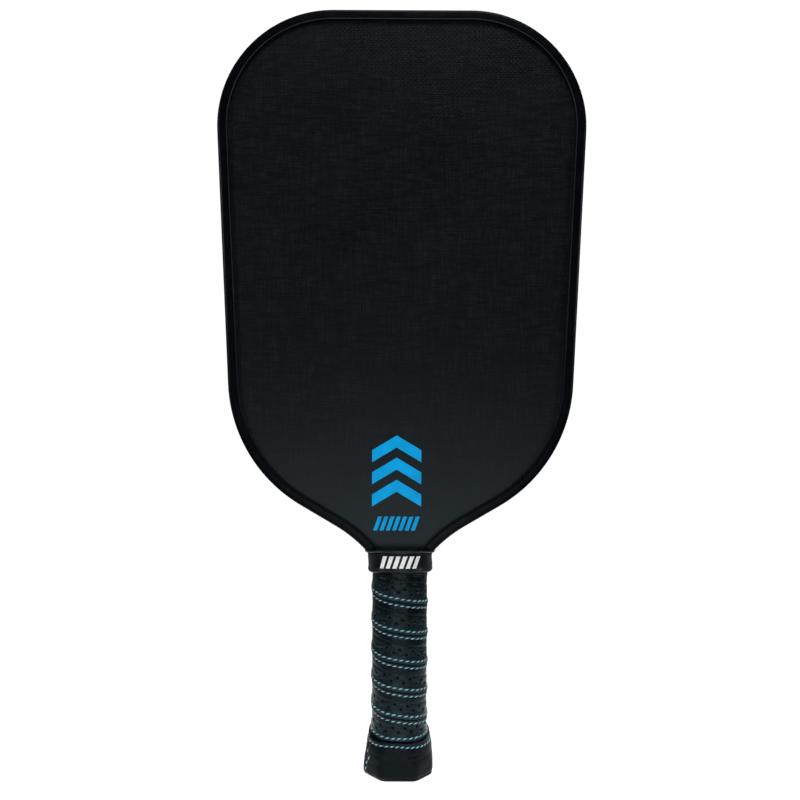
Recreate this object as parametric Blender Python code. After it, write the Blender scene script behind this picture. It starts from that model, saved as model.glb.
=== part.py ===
"""Pickleball paddle, modelled as the separate pieces it is made of.

Metres. The origin is the centre of the butt's end face, +Z runs along the handle to the top of the head,
+X is to the right of the front face, and the front face looks along -Y.

The head's outline is drawn in (x, z) from arcs and lines. A direction on it is the angle of its outward
normal, measured downwards from +X. A piece inside another follows the same outline at a larger inset.
"""

import math

import bmesh
import bpy

# Clearance between the faces of pieces that touch.
GAP = 0.0003

# Outline of the head, measured on the outside of the edge guard.
LENGTH = 0.4064
HEAD_WIDTH = 0.1970
CORNER_RADIUS = 0.0617
SIDE_TAPER = math.radians(2.7)
SHOULDER_RADIUS = 0.0790
SHOULDER_ANGLE = math.radians(59.6)
THROAT_RADIUS = 0.0740
NECK_WIDTH = 0.0374
NECK_ANGLE = math.radians(44.0)
CORNER_STEPS = 18
SHOULDER_STEPS = 10
THROAT_STEPS = 4

# Layers of the panel, and the guard round its edge.
CORE_THICKNESS = 0.0136
SKIN_THICKNESS = 0.0008
FOAM_WIDTH = 0.0080
GUARD_WALL = 0.0015
GUARD_LIP_WIDTH = 0.0052
GUARD_LIP_THICKNESS = 0.0011
GUARD_EDGE_RADIUS = 0.0030
GUARD_EDGE_STEPS = 4

# Cells of the honeycomb, wider than the real ones, and the solid rim outside them.
CELL_PITCH = 0.0160
CELL_WALL = 0.0014
CORE_RIM = 0.0012

# Handle: an eight-sided bar, up to the top of the collar.
HANDLE_LENGTH = 0.1188
HANDLE_WIDTH = 0.0260
HANDLE_DEPTH = 0.0256
HANDLE_EDGE_RADIUS = 0.0022
HANDLE_EDGE_STEPS = 2
FLAT_SHARE = 0.5
PALLET_WALL = 0.0013

# Butt cap: a cup over the end of the handle. Its flare is a share of the way from skirt to seat, by height.
BUTT_WIDTH = 0.0368
BUTT_DEPTH = 0.0340
CAP_FLOOR = 0.0026
CAP_RIM_HEIGHT = 0.0016
CAP_EDGE_RADIUS = 0.0006
CAP_HEIGHT = 0.0195
CAP_SKIRT_WALL = 0.0010
FLARE = ((0.00, 1.00), (0.57, 0.88), (0.88, 0.44), (1.00, 0.00))

# Sewn band round the flare, the grip tape above it, the finishing tape round the tape's upper end, and the
# rubber collar that slides over both tapes.
GRIP_THICKNESS = 0.0016
GRIP_END_BELOW_NECK = 0.0060
TAPE_THICKNESS = 0.0004
TAPE_LAP = 0.0042
TAPE_STEP = 0.0016
TAPE_ABOVE_GRIP = 0.0054
COLLAR_HEIGHT = 0.0116
COLLAR_WALL = 0.0013
COLLAR_BEAD = 0.0014
COLLAR_BEAD_HEIGHT = 0.0020
COLLAR_EDGE = 0.0004
COLLAR_TO_HEAD = 0.0004

# Sizes that follow from the ones above.
PANEL_THICKNESS = CORE_THICKNESS + 2 * (GAP + SKIN_THICKNESS)
SKIN_OFFSET = (CORE_THICKNESS + SKIN_THICKNESS) / 2 + GAP
CHANNEL_HALF = PANEL_THICKNESS / 2 + GAP
GUARD_HALF = CHANNEL_HALF + GUARD_LIP_THICKNESS
PANEL_INSET = GUARD_WALL + GAP
CORE_INSET = PANEL_INSET + FOAM_WIDTH + GAP
NECK_HEIGHT = HANDLE_LENGTH + COLLAR_TO_HEAD
HANDLE_BOTTOM = CAP_FLOOR + GAP
COLLAR_BOTTOM = HANDLE_LENGTH - COLLAR_HEIGHT


# --- scene and materials -------------------------------------------------------------------------------


def clear_scene():
    """Remove every object, so the file holds only the paddle."""
    for thing in list(bpy.data.objects):
        bpy.data.objects.remove(thing, do_unlink=True)


def material(name, colour, roughness, metallic=0.0):
    """A plain Principled material; the colour is linear RGB."""
    made = bpy.data.materials.new(name)
    made.use_nodes = True
    shader = made.node_tree.nodes["Principled BSDF"]
    shader.inputs["Base Color"].default_value = (*colour, 1.0)
    shader.inputs["Roughness"].default_value = roughness
    shader.inputs["Metallic"].default_value = metallic
    made.diffuse_color = (*colour, 1.0)
    return made


def empty(name, location=(0, 0, 0), parent=None):
    """An empty that other pieces hang from."""
    made = bpy.data.objects.new(name, None)
    made.location = location
    made.parent = parent
    bpy.context.collection.objects.link(made)
    return made


def piece(name, mesh, finish, parent, location=(0, 0, 0), turn=0.0):
    """Put a mesh in the scene as one named piece, turned about Z and placed under its parent."""
    made = bpy.data.objects.new(name, mesh)
    made.location = location
    made.rotation_euler = (0, 0, turn)
    made.parent = parent
    if not mesh.materials:
        mesh.materials.append(finish)
    bpy.context.collection.objects.link(made)
    return made


def mesh_from(bm, name, smooth_under=None):
    """Turn a bmesh into a mesh with its faces pointing out, shaded smooth below the given edge angle."""
    bmesh.ops.recalc_face_normals(bm, faces=bm.faces)
    mesh = bpy.data.meshes.new(name)
    bm.to_mesh(mesh)
    bm.free()
    if smooth_under is not None:
        mesh.shade_smooth()
        mesh.set_sharp_from_angle(angle=math.radians(smooth_under))
    return mesh


# --- solids from outlines ------------------------------------------------------------------------------


def add_prism(bm, points, half_depth):
    """Add the prism of an (x, z) outline, reaching half_depth in front of and behind y = 0."""
    face = bm.faces.new([bm.verts.new((x, -half_depth, z)) for x, z in points])
    grown = bmesh.ops.extrude_face_region(bm, geom=[face])
    moved = [item for item in grown["geom"] if isinstance(item, bmesh.types.BMVert)]
    bmesh.ops.translate(bm, verts=moved, vec=(0, 2 * half_depth, 0))


def add_grid(bm, rows, close_rows):
    """Join rows of points, each a closed ring; the last row meets the first when close_rows is true."""
    rings = [[bm.verts.new(point) for point in row] for row in rows]
    pairs = list(zip(rings, rings[1:]))
    if close_rows:
        pairs.append((rings[-1], rings[0]))
    for low, high in pairs:
        for i in range(len(low)):
            j = (i + 1) % len(low)
            bm.faces.new((low[i], low[j], high[j], high[i]))
    return rings


def rounded(points, radius, steps):
    """Replace each corner of a closed outline by an arc of the radius, drawn in the given steps."""
    result = []
    for i, (x, y) in enumerate(points):
        before = points[i - 1]
        after = points[(i + 1) % len(points)]
        ax, ay = unit(before[0] - x, before[1] - y)
        bx, by = unit(after[0] - x, after[1] - y)
        half = math.acos(ax * bx + ay * by) / 2
        mx, my = unit(ax + bx, ay + by)
        cx, cy = x + mx * radius / math.sin(half), y + my * radius / math.sin(half)
        middle = math.atan2(-my, -mx)
        spread = math.pi / 2 - half
        turn = math.copysign(1, ax * by - ay * bx)
        for step in range(steps + 1):
            angle = middle + turn * spread * (1 - 2 * step / steps)
            result.append((cx + radius * math.cos(angle), cy + radius * math.sin(angle)))
    return result


def unit(x, y):
    """The direction of a flat vector, with length one."""
    size = math.hypot(x, y)
    return x / size, y / size


def inside(point, outline):
    """Whether an outline holds a point, by counting the edges to one side of it."""
    x, z = point
    crossings = 0
    for (ax, az), (bx, bz) in zip(outline, outline[1:] + outline[:1]):
        if (az > z) != (bz > z) and x < ax + (z - az) * (bx - ax) / (bz - az):
            crossings += 1
    return crossings % 2 == 1


# --- outline of the head -------------------------------------------------------------------------------


def normal(angle):
    """Outward normal in (x, z) for an angle measured downwards from +X."""
    return math.cos(angle), -math.sin(angle)


def corner_centre():
    """Centre of the arc at the top corner."""
    return HEAD_WIDTH / 2 - CORNER_RADIUS, LENGTH - CORNER_RADIUS


def throat_centre():
    """Centre of the hollow arc at the throat, which lies outside the head."""
    nx, nz = normal(NECK_ANGLE)
    return NECK_WIDTH / 2 + THROAT_RADIUS * nx, NECK_HEIGHT + THROAT_RADIUS * nz


def shoulder_centre():
    """Centre of the arc that is tangent to the tapered side and to the slope above the throat."""
    side, slope = normal(SIDE_TAPER), normal(SHOULDER_ANGLE)
    cx, cz = corner_centre()
    tx, tz = throat_centre()
    side_reach = cx * side[0] + cz * side[1] + CORNER_RADIUS - SHOULDER_RADIUS
    slope_reach = tx * slope[0] + tz * slope[1] - THROAT_RADIUS - SHOULDER_RADIUS
    scale = side[0] * slope[1] - side[1] * slope[0]
    x = (side_reach * slope[1] - slope_reach * side[1]) / scale
    z = (slope_reach * side[0] - side_reach * slope[0]) / scale
    return x, z


def arc(centre, radius, start, end, steps):
    """Points of an arc between two normal angles."""
    points = []
    for step in range(steps + 1):
        nx, nz = normal(start + (end - start) * step / steps)
        points.append((centre[0] + radius * nx, centre[1] + radius * nz))
    return points


def half_outline(inset, stop_half_width=0.0):
    """Right-hand half of the outline, from the top centre to the neck or to the given half width."""
    throat = throat_centre()
    hollow = THROAT_RADIUS + inset
    at_neck = math.asin((NECK_HEIGHT - throat[1]) / hollow)
    at_stop = math.acos(min(1.0, (throat[0] - stop_half_width) / hollow))
    points = [(0.0, LENGTH - inset)]
    points += arc(corner_centre(), CORNER_RADIUS - inset, -math.pi / 2, SIDE_TAPER, CORNER_STEPS)
    points += arc(shoulder_centre(), SHOULDER_RADIUS - inset, SIDE_TAPER, SHOULDER_ANGLE, SHOULDER_STEPS)
    points += arc(throat, -hollow, SHOULDER_ANGLE, max(at_neck, at_stop), THROAT_STEPS)
    return points


def mirrored(half):
    """A whole outline from its right-hand half: up the left side, over the top and down the right."""
    return [(-x, z) for x, z in half[:0:-1]] + half


def tang_half_width():
    """Half width of the panel inside the handle, which leaves the pallets their wall at the corners."""
    wide, deep = HANDLE_WIDTH / 2, HANDLE_DEPTH / 2
    slant = math.hypot(1 / wide, 1 / deep)
    at_corner = wide * (1 + FLAT_SHARE - CHANNEL_HALF / deep - PALLET_WALL * slant)
    return min(at_corner, wide - PALLET_WALL) - GAP


def panel_outline(inset, tang):
    """Outline of a layer of the panel: the head at an inset, and a tang of the given half width."""
    half = half_outline(inset, tang)
    if half[-1][0] > tang:
        half.append((tang, half[-1][1]))
    half.append((tang, HANDLE_BOTTOM))
    return mirrored(half)


# --- rings of the handle -------------------------------------------------------------------------------


def octagon(half_width, half_depth):
    """Outline of the handle's section, with its edges rounded, as (x, y) points."""
    near, far = FLAT_SHARE, 1.0
    corners = []
    for sx, sy in ((1, 1), (-1, 1), (-1, -1), (1, -1)):
        pair = [(sx * far, sy * near), (sx * near, sy * far)]
        corners += pair if sx * sy > 0 else pair[::-1]
    scaled = [(x * half_width, y * half_depth) for x, y in corners]
    return rounded(scaled, HANDLE_EDGE_RADIUS, HANDLE_EDGE_STEPS)


def ring(z, extra):
    """The handle's section at a height, grown by extra on every side."""
    return [(x, y, z) for x, y in octagon(HANDLE_WIDTH / 2 + extra, HANDLE_DEPTH / 2 + extra)]


def flare_ring(z, share, extra):
    """A section of the cap at a share of the way from its skirt to its seat, grown by extra."""
    skirt = GAP + CAP_SKIRT_WALL
    seat = -GRIP_THICKNESS
    wide = (1 - share) * (HANDLE_WIDTH / 2 + skirt) + share * (BUTT_WIDTH / 2 + seat)
    deep = (1 - share) * (HANDLE_DEPTH / 2 + skirt) + share * (BUTT_DEPTH / 2 + seat)
    return [(x, y, z) for x, y in octagon(wide + extra, deep + extra)]


def flare_rows(bottom, extra):
    """Rows of the flare from a height up to the cap's top."""
    return [flare_ring(bottom + share * (CAP_HEIGHT - bottom), spread, extra) for share, spread in FLARE]


def sleeve_mesh(name, outer, inner):
    """A tube from rows of its outside, bottom to top, and of its bore, bottom to top."""
    bm = bmesh.new()
    add_grid(bm, outer + inner[::-1], close_rows=True)
    return mesh_from(bm, name, smooth_under=30)


# --- pieces of the panel -------------------------------------------------------------------------------


def honeycomb_cells(name):
    """Cutter for the core: a prism for each whole cell that fits inside its rim."""
    limit = panel_outline(CORE_INSET + CORE_RIM, tang_half_width() - CORE_RIM)
    radius = (CELL_PITCH - CELL_WALL) / 2 / math.cos(math.pi / 6)
    row_step = CELL_PITCH * math.cos(math.pi / 6)
    across = math.ceil(HEAD_WIDTH / 2 / CELL_PITCH)
    bm = bmesh.new()
    for row in range(math.ceil(LENGTH / row_step)):
        z = LENGTH - row * row_step
        shift = CELL_PITCH / 2 * (row % 2)
        for column in range(-across, across + 1):
            x = column * CELL_PITCH + shift
            turns = [math.pi / 6 + side * math.pi / 3 for side in range(6)]
            cell = [(x + radius * math.cos(a), z + radius * math.sin(a)) for a in turns]
            if all(inside(point, limit) for point in cell):
                add_prism(bm, cell, CORE_THICKNESS)
    cutter = piece(name, mesh_from(bm, name), None, None)
    cutter.hide_render = True
    cutter.display_type = "WIRE"
    return cutter


def build_core(parent, finish):
    """Polymer slab with open hexagonal cells from face to face, and its tang in the handle."""
    bm = bmesh.new()
    add_prism(bm, panel_outline(CORE_INSET, tang_half_width()), CORE_THICKNESS / 2)
    core = piece("honeycomb_core", mesh_from(bm, "honeycomb_core"), finish, parent)
    cut = core.modifiers.new("cells", "BOOLEAN")
    cut.operation = "DIFFERENCE"
    cut.solver = "EXACT"
    cut.object = honeycomb_cells("honeycomb_cells")


def build_foam(parent, finish):
    """Foam wall round the core, from one side of the neck over the top to the other."""
    outside = mirrored(half_outline(PANEL_INSET))
    inner_half = half_outline(CORE_INSET - GAP, tang_half_width() + GAP)
    if inner_half[-1][1] > NECK_HEIGHT:
        inner_half.append((inner_half[-1][0], NECK_HEIGHT))
    bm = bmesh.new()
    add_prism(bm, outside + mirrored(inner_half)[::-1], CORE_THICKNESS / 2)
    piece("perimeter_foam", mesh_from(bm, "perimeter_foam"), finish, parent)


def build_skins(parent, finish):
    """Carbon face sheets, front and rear, each with the tang that the pallets clamp."""
    bm = bmesh.new()
    add_prism(bm, panel_outline(PANEL_INSET, tang_half_width()), SKIN_THICKNESS / 2)
    mesh = mesh_from(bm, "face_sheet")
    piece("front_face_sheet", mesh, finish, parent, location=(0, -SKIN_OFFSET, 0))
    piece("rear_face_sheet", mesh, finish, parent, location=(0, SKIN_OFFSET, 0))


def guard_section():
    """Closed section of the edge guard's channel, as (inset, y) points."""
    radius = GUARD_EDGE_RADIUS
    turns = [step / GUARD_EDGE_STEPS * math.pi / 2 for step in range(GUARD_EDGE_STEPS + 1)]
    front = [(radius * (1 - math.sin(a)), -GUARD_HALF + radius * (1 - math.cos(a))) for a in turns]
    outside = front + [(inset, -y) for inset, y in front[::-1]]
    lip_inside = [(GUARD_LIP_WIDTH, GUARD_HALF), (GUARD_LIP_WIDTH, CHANNEL_HALF), (GUARD_WALL, CHANNEL_HALF)]
    return outside + lip_inside + [(inset, -y) for inset, y in lip_inside[::-1]]


def build_guard(parent, finish):
    """One-piece channel swept round the head, open where the handle leaves it."""
    strips = []
    for inset, y in guard_section():
        strips.append([(x, y, z) for x, z in mirrored(half_outline(inset))])
    bm = bmesh.new()
    rings = add_grid(bm, [list(column) for column in zip(*strips)], close_rows=False)
    bm.faces.new(rings[0])
    bm.faces.new(rings[-1])
    piece("edge_guard", mesh_from(bm, "edge_guard", smooth_under=35), finish, parent)


# --- pieces of the handle ------------------------------------------------------------------------------


def build_pallets(parent, finish):
    """The two half shells that clamp the tang and give the handle its eight sides."""
    section = octagon(HANDLE_WIDTH / 2, HANDLE_DEPTH / 2)
    front = sorted((point for point in section if point[1] < 0), key=lambda p: math.atan2(p[1], p[0]))
    recess = tang_half_width() + GAP
    split = -GAP / 2
    outline = [(-HANDLE_WIDTH / 2, split)] + front + [(HANDLE_WIDTH / 2, split)]
    outline += [(recess, split), (recess, -CHANNEL_HALF), (-recess, -CHANNEL_HALF), (-recess, split)]
    height = NECK_HEIGHT - GAP - HANDLE_BOTTOM
    bm = bmesh.new()
    face = bm.faces.new([bm.verts.new((x, y, 0)) for x, y in outline])
    grown = bmesh.ops.extrude_face_region(bm, geom=[face])
    moved = [item for item in grown["geom"] if isinstance(item, bmesh.types.BMVert)]
    bmesh.ops.translate(bm, verts=moved, vec=(0, 0, height))
    mesh = mesh_from(bm, "handle_pallet", smooth_under=30)
    place = (0, 0, HANDLE_BOTTOM)
    piece("handle_pallet_front", mesh, finish, parent, location=place)
    piece("handle_pallet_rear", mesh, finish, parent, location=place, turn=math.pi)


def build_cap(parent, finish):
    """Cup over the end of the handle: a rim, a flared seat for the tape and a floor."""
    rim = flare_ring(CAP_RIM_HEIGHT, 1.0, GRIP_THICKNESS)
    edge = flare_ring(CAP_EDGE_RADIUS, 1.0, GRIP_THICKNESS)
    base = flare_ring(0.0, 1.0, GRIP_THICKNESS - CAP_EDGE_RADIUS)
    outside = [base, edge, rim] + flare_rows(CAP_RIM_HEIGHT, 0.0)
    bore = [ring(CAP_HEIGHT, GAP), ring(CAP_FLOOR, GAP)]
    bm = bmesh.new()
    rings = add_grid(bm, outside + bore, close_rows=False)
    bm.faces.new(rings[0])
    bm.faces.new(rings[-1])
    piece("butt_cap", mesh_from(bm, "butt_cap", smooth_under=30), finish, parent)


def grip_top():
    """Height where the grip tape ends, hidden by the collar."""
    return NECK_HEIGHT - GRIP_END_BELOW_NECK


def build_band(parent, finish):
    """Leather band sewn round the cap's flare, from its rim to its top."""
    bottom = CAP_RIM_HEIGHT + GAP
    bore = flare_rows(bottom, GAP)
    outside = flare_rows(bottom, GAP + GRIP_THICKNESS)
    piece("butt_band", sleeve_mesh("butt_band", outside, bore), finish, parent)


def build_grip(parent, finish):
    """Plain sleeve of the wound grip tape, from the top of the cap up the handle."""
    bottom = CAP_HEIGHT + GAP
    outer = GAP + GRIP_THICKNESS
    bore = [ring(bottom, GAP), ring(grip_top(), GAP)]
    outside = [ring(bottom, outer), ring(grip_top(), outer)]
    piece("grip_tape", sleeve_mesh("grip_tape", outside, bore), finish, parent)


def build_finishing_tape(parent, finish):
    """Thin band that holds the end of the grip tape down onto the pallets."""
    over_grip = GAP + GRIP_THICKNESS + GAP
    step = grip_top() + GAP
    bottom = grip_top() - TAPE_LAP
    top = grip_top() + TAPE_ABOVE_GRIP
    bore = [ring(bottom, over_grip), ring(step, over_grip), ring(step, GAP), ring(top, GAP)]
    wall = TAPE_THICKNESS
    outside = [ring(bottom, over_grip + wall), ring(step + wall, over_grip + wall)]
    outside += [ring(step + wall + TAPE_STEP, GAP + wall), ring(top, GAP + wall)]
    piece("finishing_tape", sleeve_mesh("finishing_tape", outside, bore), finish, parent)


def build_collar(parent, finish):
    """Rubber ring with a bead round its top, drawn from its own lower end."""
    bore = GAP + GRIP_THICKNESS + GAP + TAPE_THICKNESS + GAP
    body = bore + COLLAR_WALL
    bead = body + COLLAR_BEAD
    bead_bottom = COLLAR_HEIGHT - COLLAR_BEAD_HEIGHT
    outside = [
        ring(0.0, body - COLLAR_EDGE),
        ring(COLLAR_EDGE, body),
        ring(bead_bottom, body),
        ring(bead_bottom + COLLAR_BEAD / 2, bead),
        ring(COLLAR_HEIGHT - COLLAR_EDGE, bead),
        ring(COLLAR_HEIGHT, bead - COLLAR_EDGE),
    ]
    inside_rows = [ring(0.0, bore), ring(COLLAR_HEIGHT, bore)]
    piece("grip_collar", sleeve_mesh("grip_collar", outside, inside_rows), finish, parent)


def main():
    """Build every piece of the paddle under its two frames."""
    clear_scene()
    polymer = material("honeycomb_polymer", (0.62, 0.63, 0.62), 0.55)
    foam = material("edge_foam", (0.30, 0.31, 0.32), 0.90)
    carbon = material("carbon_face", (0.0065, 0.0066, 0.0085), 0.62)
    guard = material("guard_polymer", (0.0030, 0.0037, 0.0050), 0.34)
    shell = material("handle_shell", (0.035, 0.036, 0.038), 0.60)
    plastic = material("cap_plastic", (0.0045, 0.0055, 0.0065), 0.38)
    leather = material("grip_leather", (0.012, 0.019, 0.022), 0.55)
    vinyl = material("finishing_vinyl", (0.0060, 0.0070, 0.0080), 0.30)
    rubber = material("collar_rubber", (0.0052, 0.0090, 0.0110), 0.48)
    paddle = empty("paddle")
    slide = empty("collar_slide", location=(0, 0, COLLAR_BOTTOM), parent=paddle)
    build_core(paddle, polymer)
    build_foam(paddle, foam)
    build_skins(paddle, carbon)
    build_guard(paddle, guard)
    build_pallets(paddle, shell)
    build_cap(paddle, plastic)
    build_band(paddle, leather)
    build_grip(paddle, leather)
    build_finishing_tape(paddle, vinyl)
    build_collar(slide, rubber)


if __name__ == "__main__":
    main()
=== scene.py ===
"""Looks of the pickleball paddle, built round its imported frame.

Metres, in the frame's own axes: +Z from the butt to the top of the head, +X to the right of the front face,
and the front face towards -Y. A place round the handle is a turn: 0 at the front, and it grows clockwise as
seen from above, so 0.25 is the left side, 0.5 the back and 0.75 the right side.
"""

import logging
import math
from collections.abc import Callable
from dataclasses import dataclass, field
from enum import Enum

import bmesh
import bpy
import numpy as np
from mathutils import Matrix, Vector


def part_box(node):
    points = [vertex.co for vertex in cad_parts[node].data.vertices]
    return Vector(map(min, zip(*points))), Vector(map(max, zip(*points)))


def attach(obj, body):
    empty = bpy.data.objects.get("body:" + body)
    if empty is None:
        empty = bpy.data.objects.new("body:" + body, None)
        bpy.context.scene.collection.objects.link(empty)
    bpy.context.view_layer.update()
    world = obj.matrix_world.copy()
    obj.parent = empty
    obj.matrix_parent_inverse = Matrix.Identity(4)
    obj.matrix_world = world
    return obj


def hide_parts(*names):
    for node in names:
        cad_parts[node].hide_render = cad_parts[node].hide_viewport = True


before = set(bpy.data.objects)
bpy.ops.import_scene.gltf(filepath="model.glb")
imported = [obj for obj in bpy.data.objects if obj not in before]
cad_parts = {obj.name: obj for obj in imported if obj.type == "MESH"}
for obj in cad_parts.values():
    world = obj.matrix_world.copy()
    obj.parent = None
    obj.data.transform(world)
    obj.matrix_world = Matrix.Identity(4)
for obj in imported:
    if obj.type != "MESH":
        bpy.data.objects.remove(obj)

LOG = logging.getLogger("paddle")
MM = 0.001
FIT = 0.3 * MM
Point2 = tuple[float, float]
Point3 = tuple[float, float, float]
Colour = Point3
Outline = list[Point2]
Faces = list[list[int]]
Arrays = tuple[np.ndarray, np.ndarray]
Threads = tuple[np.ndarray, Faces]
Socket = bpy.types.NodeSocket
Surface = Callable[[np.ndarray, np.ndarray], np.ndarray]


class Body(Enum):
    """The moving bodies of the frame."""

    PADDLE = "paddle"
    COLLAR = "collar"


class Slot(Enum):
    """Material slots of the record."""

    POLYMER = "honeycomb_polymer"
    FOAM = "edge_foam"
    CARBON = "carbon_face"
    GUARD = "guard_polymer"
    SHELL = "handle_shell"
    CAP = "cap_plastic"
    LEATHER = "grip_leather"
    VINYL = "finishing_vinyl"
    RUBBER = "collar_rubber"
    THREAD = "stitch_thread"
    BLUE = "blue_ink"
    PALE = "pale_ink"


# --- finishes ------------------------------------------------------------------------------------------


class Bench:
    """One material's node tree, with a method for each kind of step in a finish."""

    def __init__(self, name: str, colour: Colour, roughness: float) -> None:
        """Start a material of one colour and roughness.

        Args:
            name: the material's name.
            colour: its linear colour, before any detail.
            roughness: its roughness, before any detail.
        """
        self.material = bpy.data.materials.new(name)
        self.material.use_nodes = True
        self.tree = self.material.node_tree
        self.shader = self.tree.nodes["Principled BSDF"]
        self.shader.inputs["Base Color"].default_value = (*colour, 1.0)
        self.shader.inputs["Roughness"].default_value = roughness
        self.places = self.tree.nodes.new("ShaderNodeTexCoord").outputs["Object"]

    def feed(self, socket: Socket, value: object) -> None:
        """Link a socket to another one, or set its number.

        Args:
            socket: the input to be fed.
            value: an output socket, a number or a row of numbers.
        """
        if isinstance(value, bpy.types.NodeSocket):
            self.tree.links.new(value, socket)
        else:
            socket.default_value = value

    def set(self, **values: object) -> None:
        """Set or link sockets of the shader, with _ for a space in a name."""
        for name, value in values.items():
            self.feed(self.shader.inputs[name.replace("_", " ")], value)

    def stretched(self, x: float, y: float, z: float) -> Socket:
        """Object coordinates scaled along each axis.

        Args:
            x: factor along X.
            y: factor along Y.
            z: factor along Z.

        Returns:
            The scaled coordinates.
        """
        made = self.tree.nodes.new("ShaderNodeMapping")
        self.feed(made.inputs["Vector"], self.places)
        made.inputs["Scale"].default_value = (x, y, z)
        return made.outputs["Vector"]

    def noise(self, size: float, detail: float = 2.0, places: Socket | None = None) -> Socket:
        """Soft noise with grains of about the given size.

        Args:
            size: width of a grain, in metres.
            detail: how many finer layers are added.
            places: coordinates, when not the object's own.

        Returns:
            The noise, from 0 to 1.
        """
        made = self.tree.nodes.new("ShaderNodeTexNoise")
        self.feed(made.inputs["Vector"], places or self.places)
        made.inputs["Scale"].default_value = 1 / size
        made.inputs["Detail"].default_value = detail
        return made.outputs["Fac"]

    def pebbles(self, size: float) -> Socket:
        """Distance from the middle of rounded cells of the given size.

        Args:
            size: width of a cell, in metres.

        Returns:
            The distance, from 0 in a cell's middle.
        """
        made = self.tree.nodes.new("ShaderNodeTexVoronoi")
        self.feed(made.inputs["Vector"], self.places)
        made.inputs["Scale"].default_value = 1 / size
        return made.outputs["Distance"]

    def axis(self, name: str) -> Socket:
        """One coordinate of the object.

        Args:
            name: X, Y or Z.

        Returns:
            The coordinate, in metres.
        """
        made = self.tree.nodes.new("ShaderNodeSeparateXYZ")
        self.feed(made.inputs[0], self.places)
        return made.outputs[name]

    def maths(self, operation: str, *values: object) -> Socket:
        """Result of a math step on sockets or numbers.

        Args:
            operation: what the step does.
            values: its inputs, in order.

        Returns:
            The result.
        """
        made = self.tree.nodes.new("ShaderNodeMath")
        made.operation = operation
        for socket, value in zip(made.inputs, values):
            self.feed(socket, value)
        return made.outputs[0]

    def spread(self, value: Socket, low: float, high: float, at_low: float, at_high: float) -> Socket:
        """Map a range of a value to another range, held at its ends.

        Args:
            value: the value to map.
            low: start of its range.
            high: end of its range.
            at_low: result at the start.
            at_high: result at the end.

        Returns:
            The mapped value.
        """
        made = self.tree.nodes.new("ShaderNodeMapRange")
        for socket, number in zip(made.inputs, (value, low, high, at_low, at_high)):
            self.feed(socket, number)
        return made.outputs[0]

    def mix(self, share: object, first: object, second: object) -> Socket:
        """Mix two colours, given as sockets or as linear RGB.

        Args:
            share: how much of the second colour shows, from 0 to 1.
            first: colour at 0.
            second: colour at 1.

        Returns:
            The mixed colour.
        """
        made = self.tree.nodes.new("ShaderNodeMix")
        made.data_type = "RGBA"
        self.feed(made.inputs[0], share)
        for socket, colour in ((made.inputs[6], first), (made.inputs[7], second)):
            self.feed(socket, colour if isinstance(colour, bpy.types.NodeSocket) else (*colour, 1.0))
        return made.outputs[2]

    def mark(self, name: str) -> Socket:
        """A number painted on the mesh's points.

        Args:
            name: the painted attribute.

        Returns:
            The number, and 0 where the mesh has none of that name.
        """
        made = self.tree.nodes.new("ShaderNodeAttribute")
        made.attribute_name = name
        return made.outputs["Fac"]

    def relief(self, *layers: tuple[Socket, float]) -> None:
        """Raise the surface by a stack of heights.

        Args:
            layers: pairs of a height socket from 0 to 1 and its depth in metres.
        """
        under = None
        for height, depth in layers:
            made = self.tree.nodes.new("ShaderNodeBump")
            made.inputs["Distance"].default_value = depth
            self.feed(made.inputs["Height"], height)
            if under is not None:
                self.feed(made.inputs["Normal"], under)
            under = made.outputs["Normal"]
        self.set(Normal=under)


def tinted(colour: Colour, factor: float) -> Colour:
    """The colour, made lighter or darker by a factor."""
    return tuple(channel * factor for channel in colour)


@dataclass(frozen=True)
class Finish:
    """What every finish has: a name, the record's slot, a linear colour, roughness and specular level."""

    name: str
    slot: Slot
    colour: Colour
    roughness: float
    gloss: float

    def make(self) -> bpy.types.Material:
        """The finished material.

        Returns:
            The material, with its detail wired.
        """
        bench = Bench(self.name, self.colour, self.roughness)
        bench.set(Specular_IOR_Level=self.gloss)
        self.work(bench)
        return bench.material

    def work(self, bench: Bench) -> None:
        """Wire the finish's own detail."""
        raise NotImplementedError

    def shaded(self, bench: Bench, value: Socket, span: Point2, tints: Point2) -> Socket:
        """The finish's colour, from one tint of it to another as a value crosses a span.

        Args:
            bench: where the material is made.
            value: the value that is followed.
            span: the values at which each tint is full.
            tints: factors on the colour at the span's start and end.

        Returns:
            The colour.
        """
        share = bench.spread(value, *span, 0.0, 1.0)
        return bench.mix(share, tinted(self.colour, tints[0]), tinted(self.colour, tints[1]))


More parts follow.
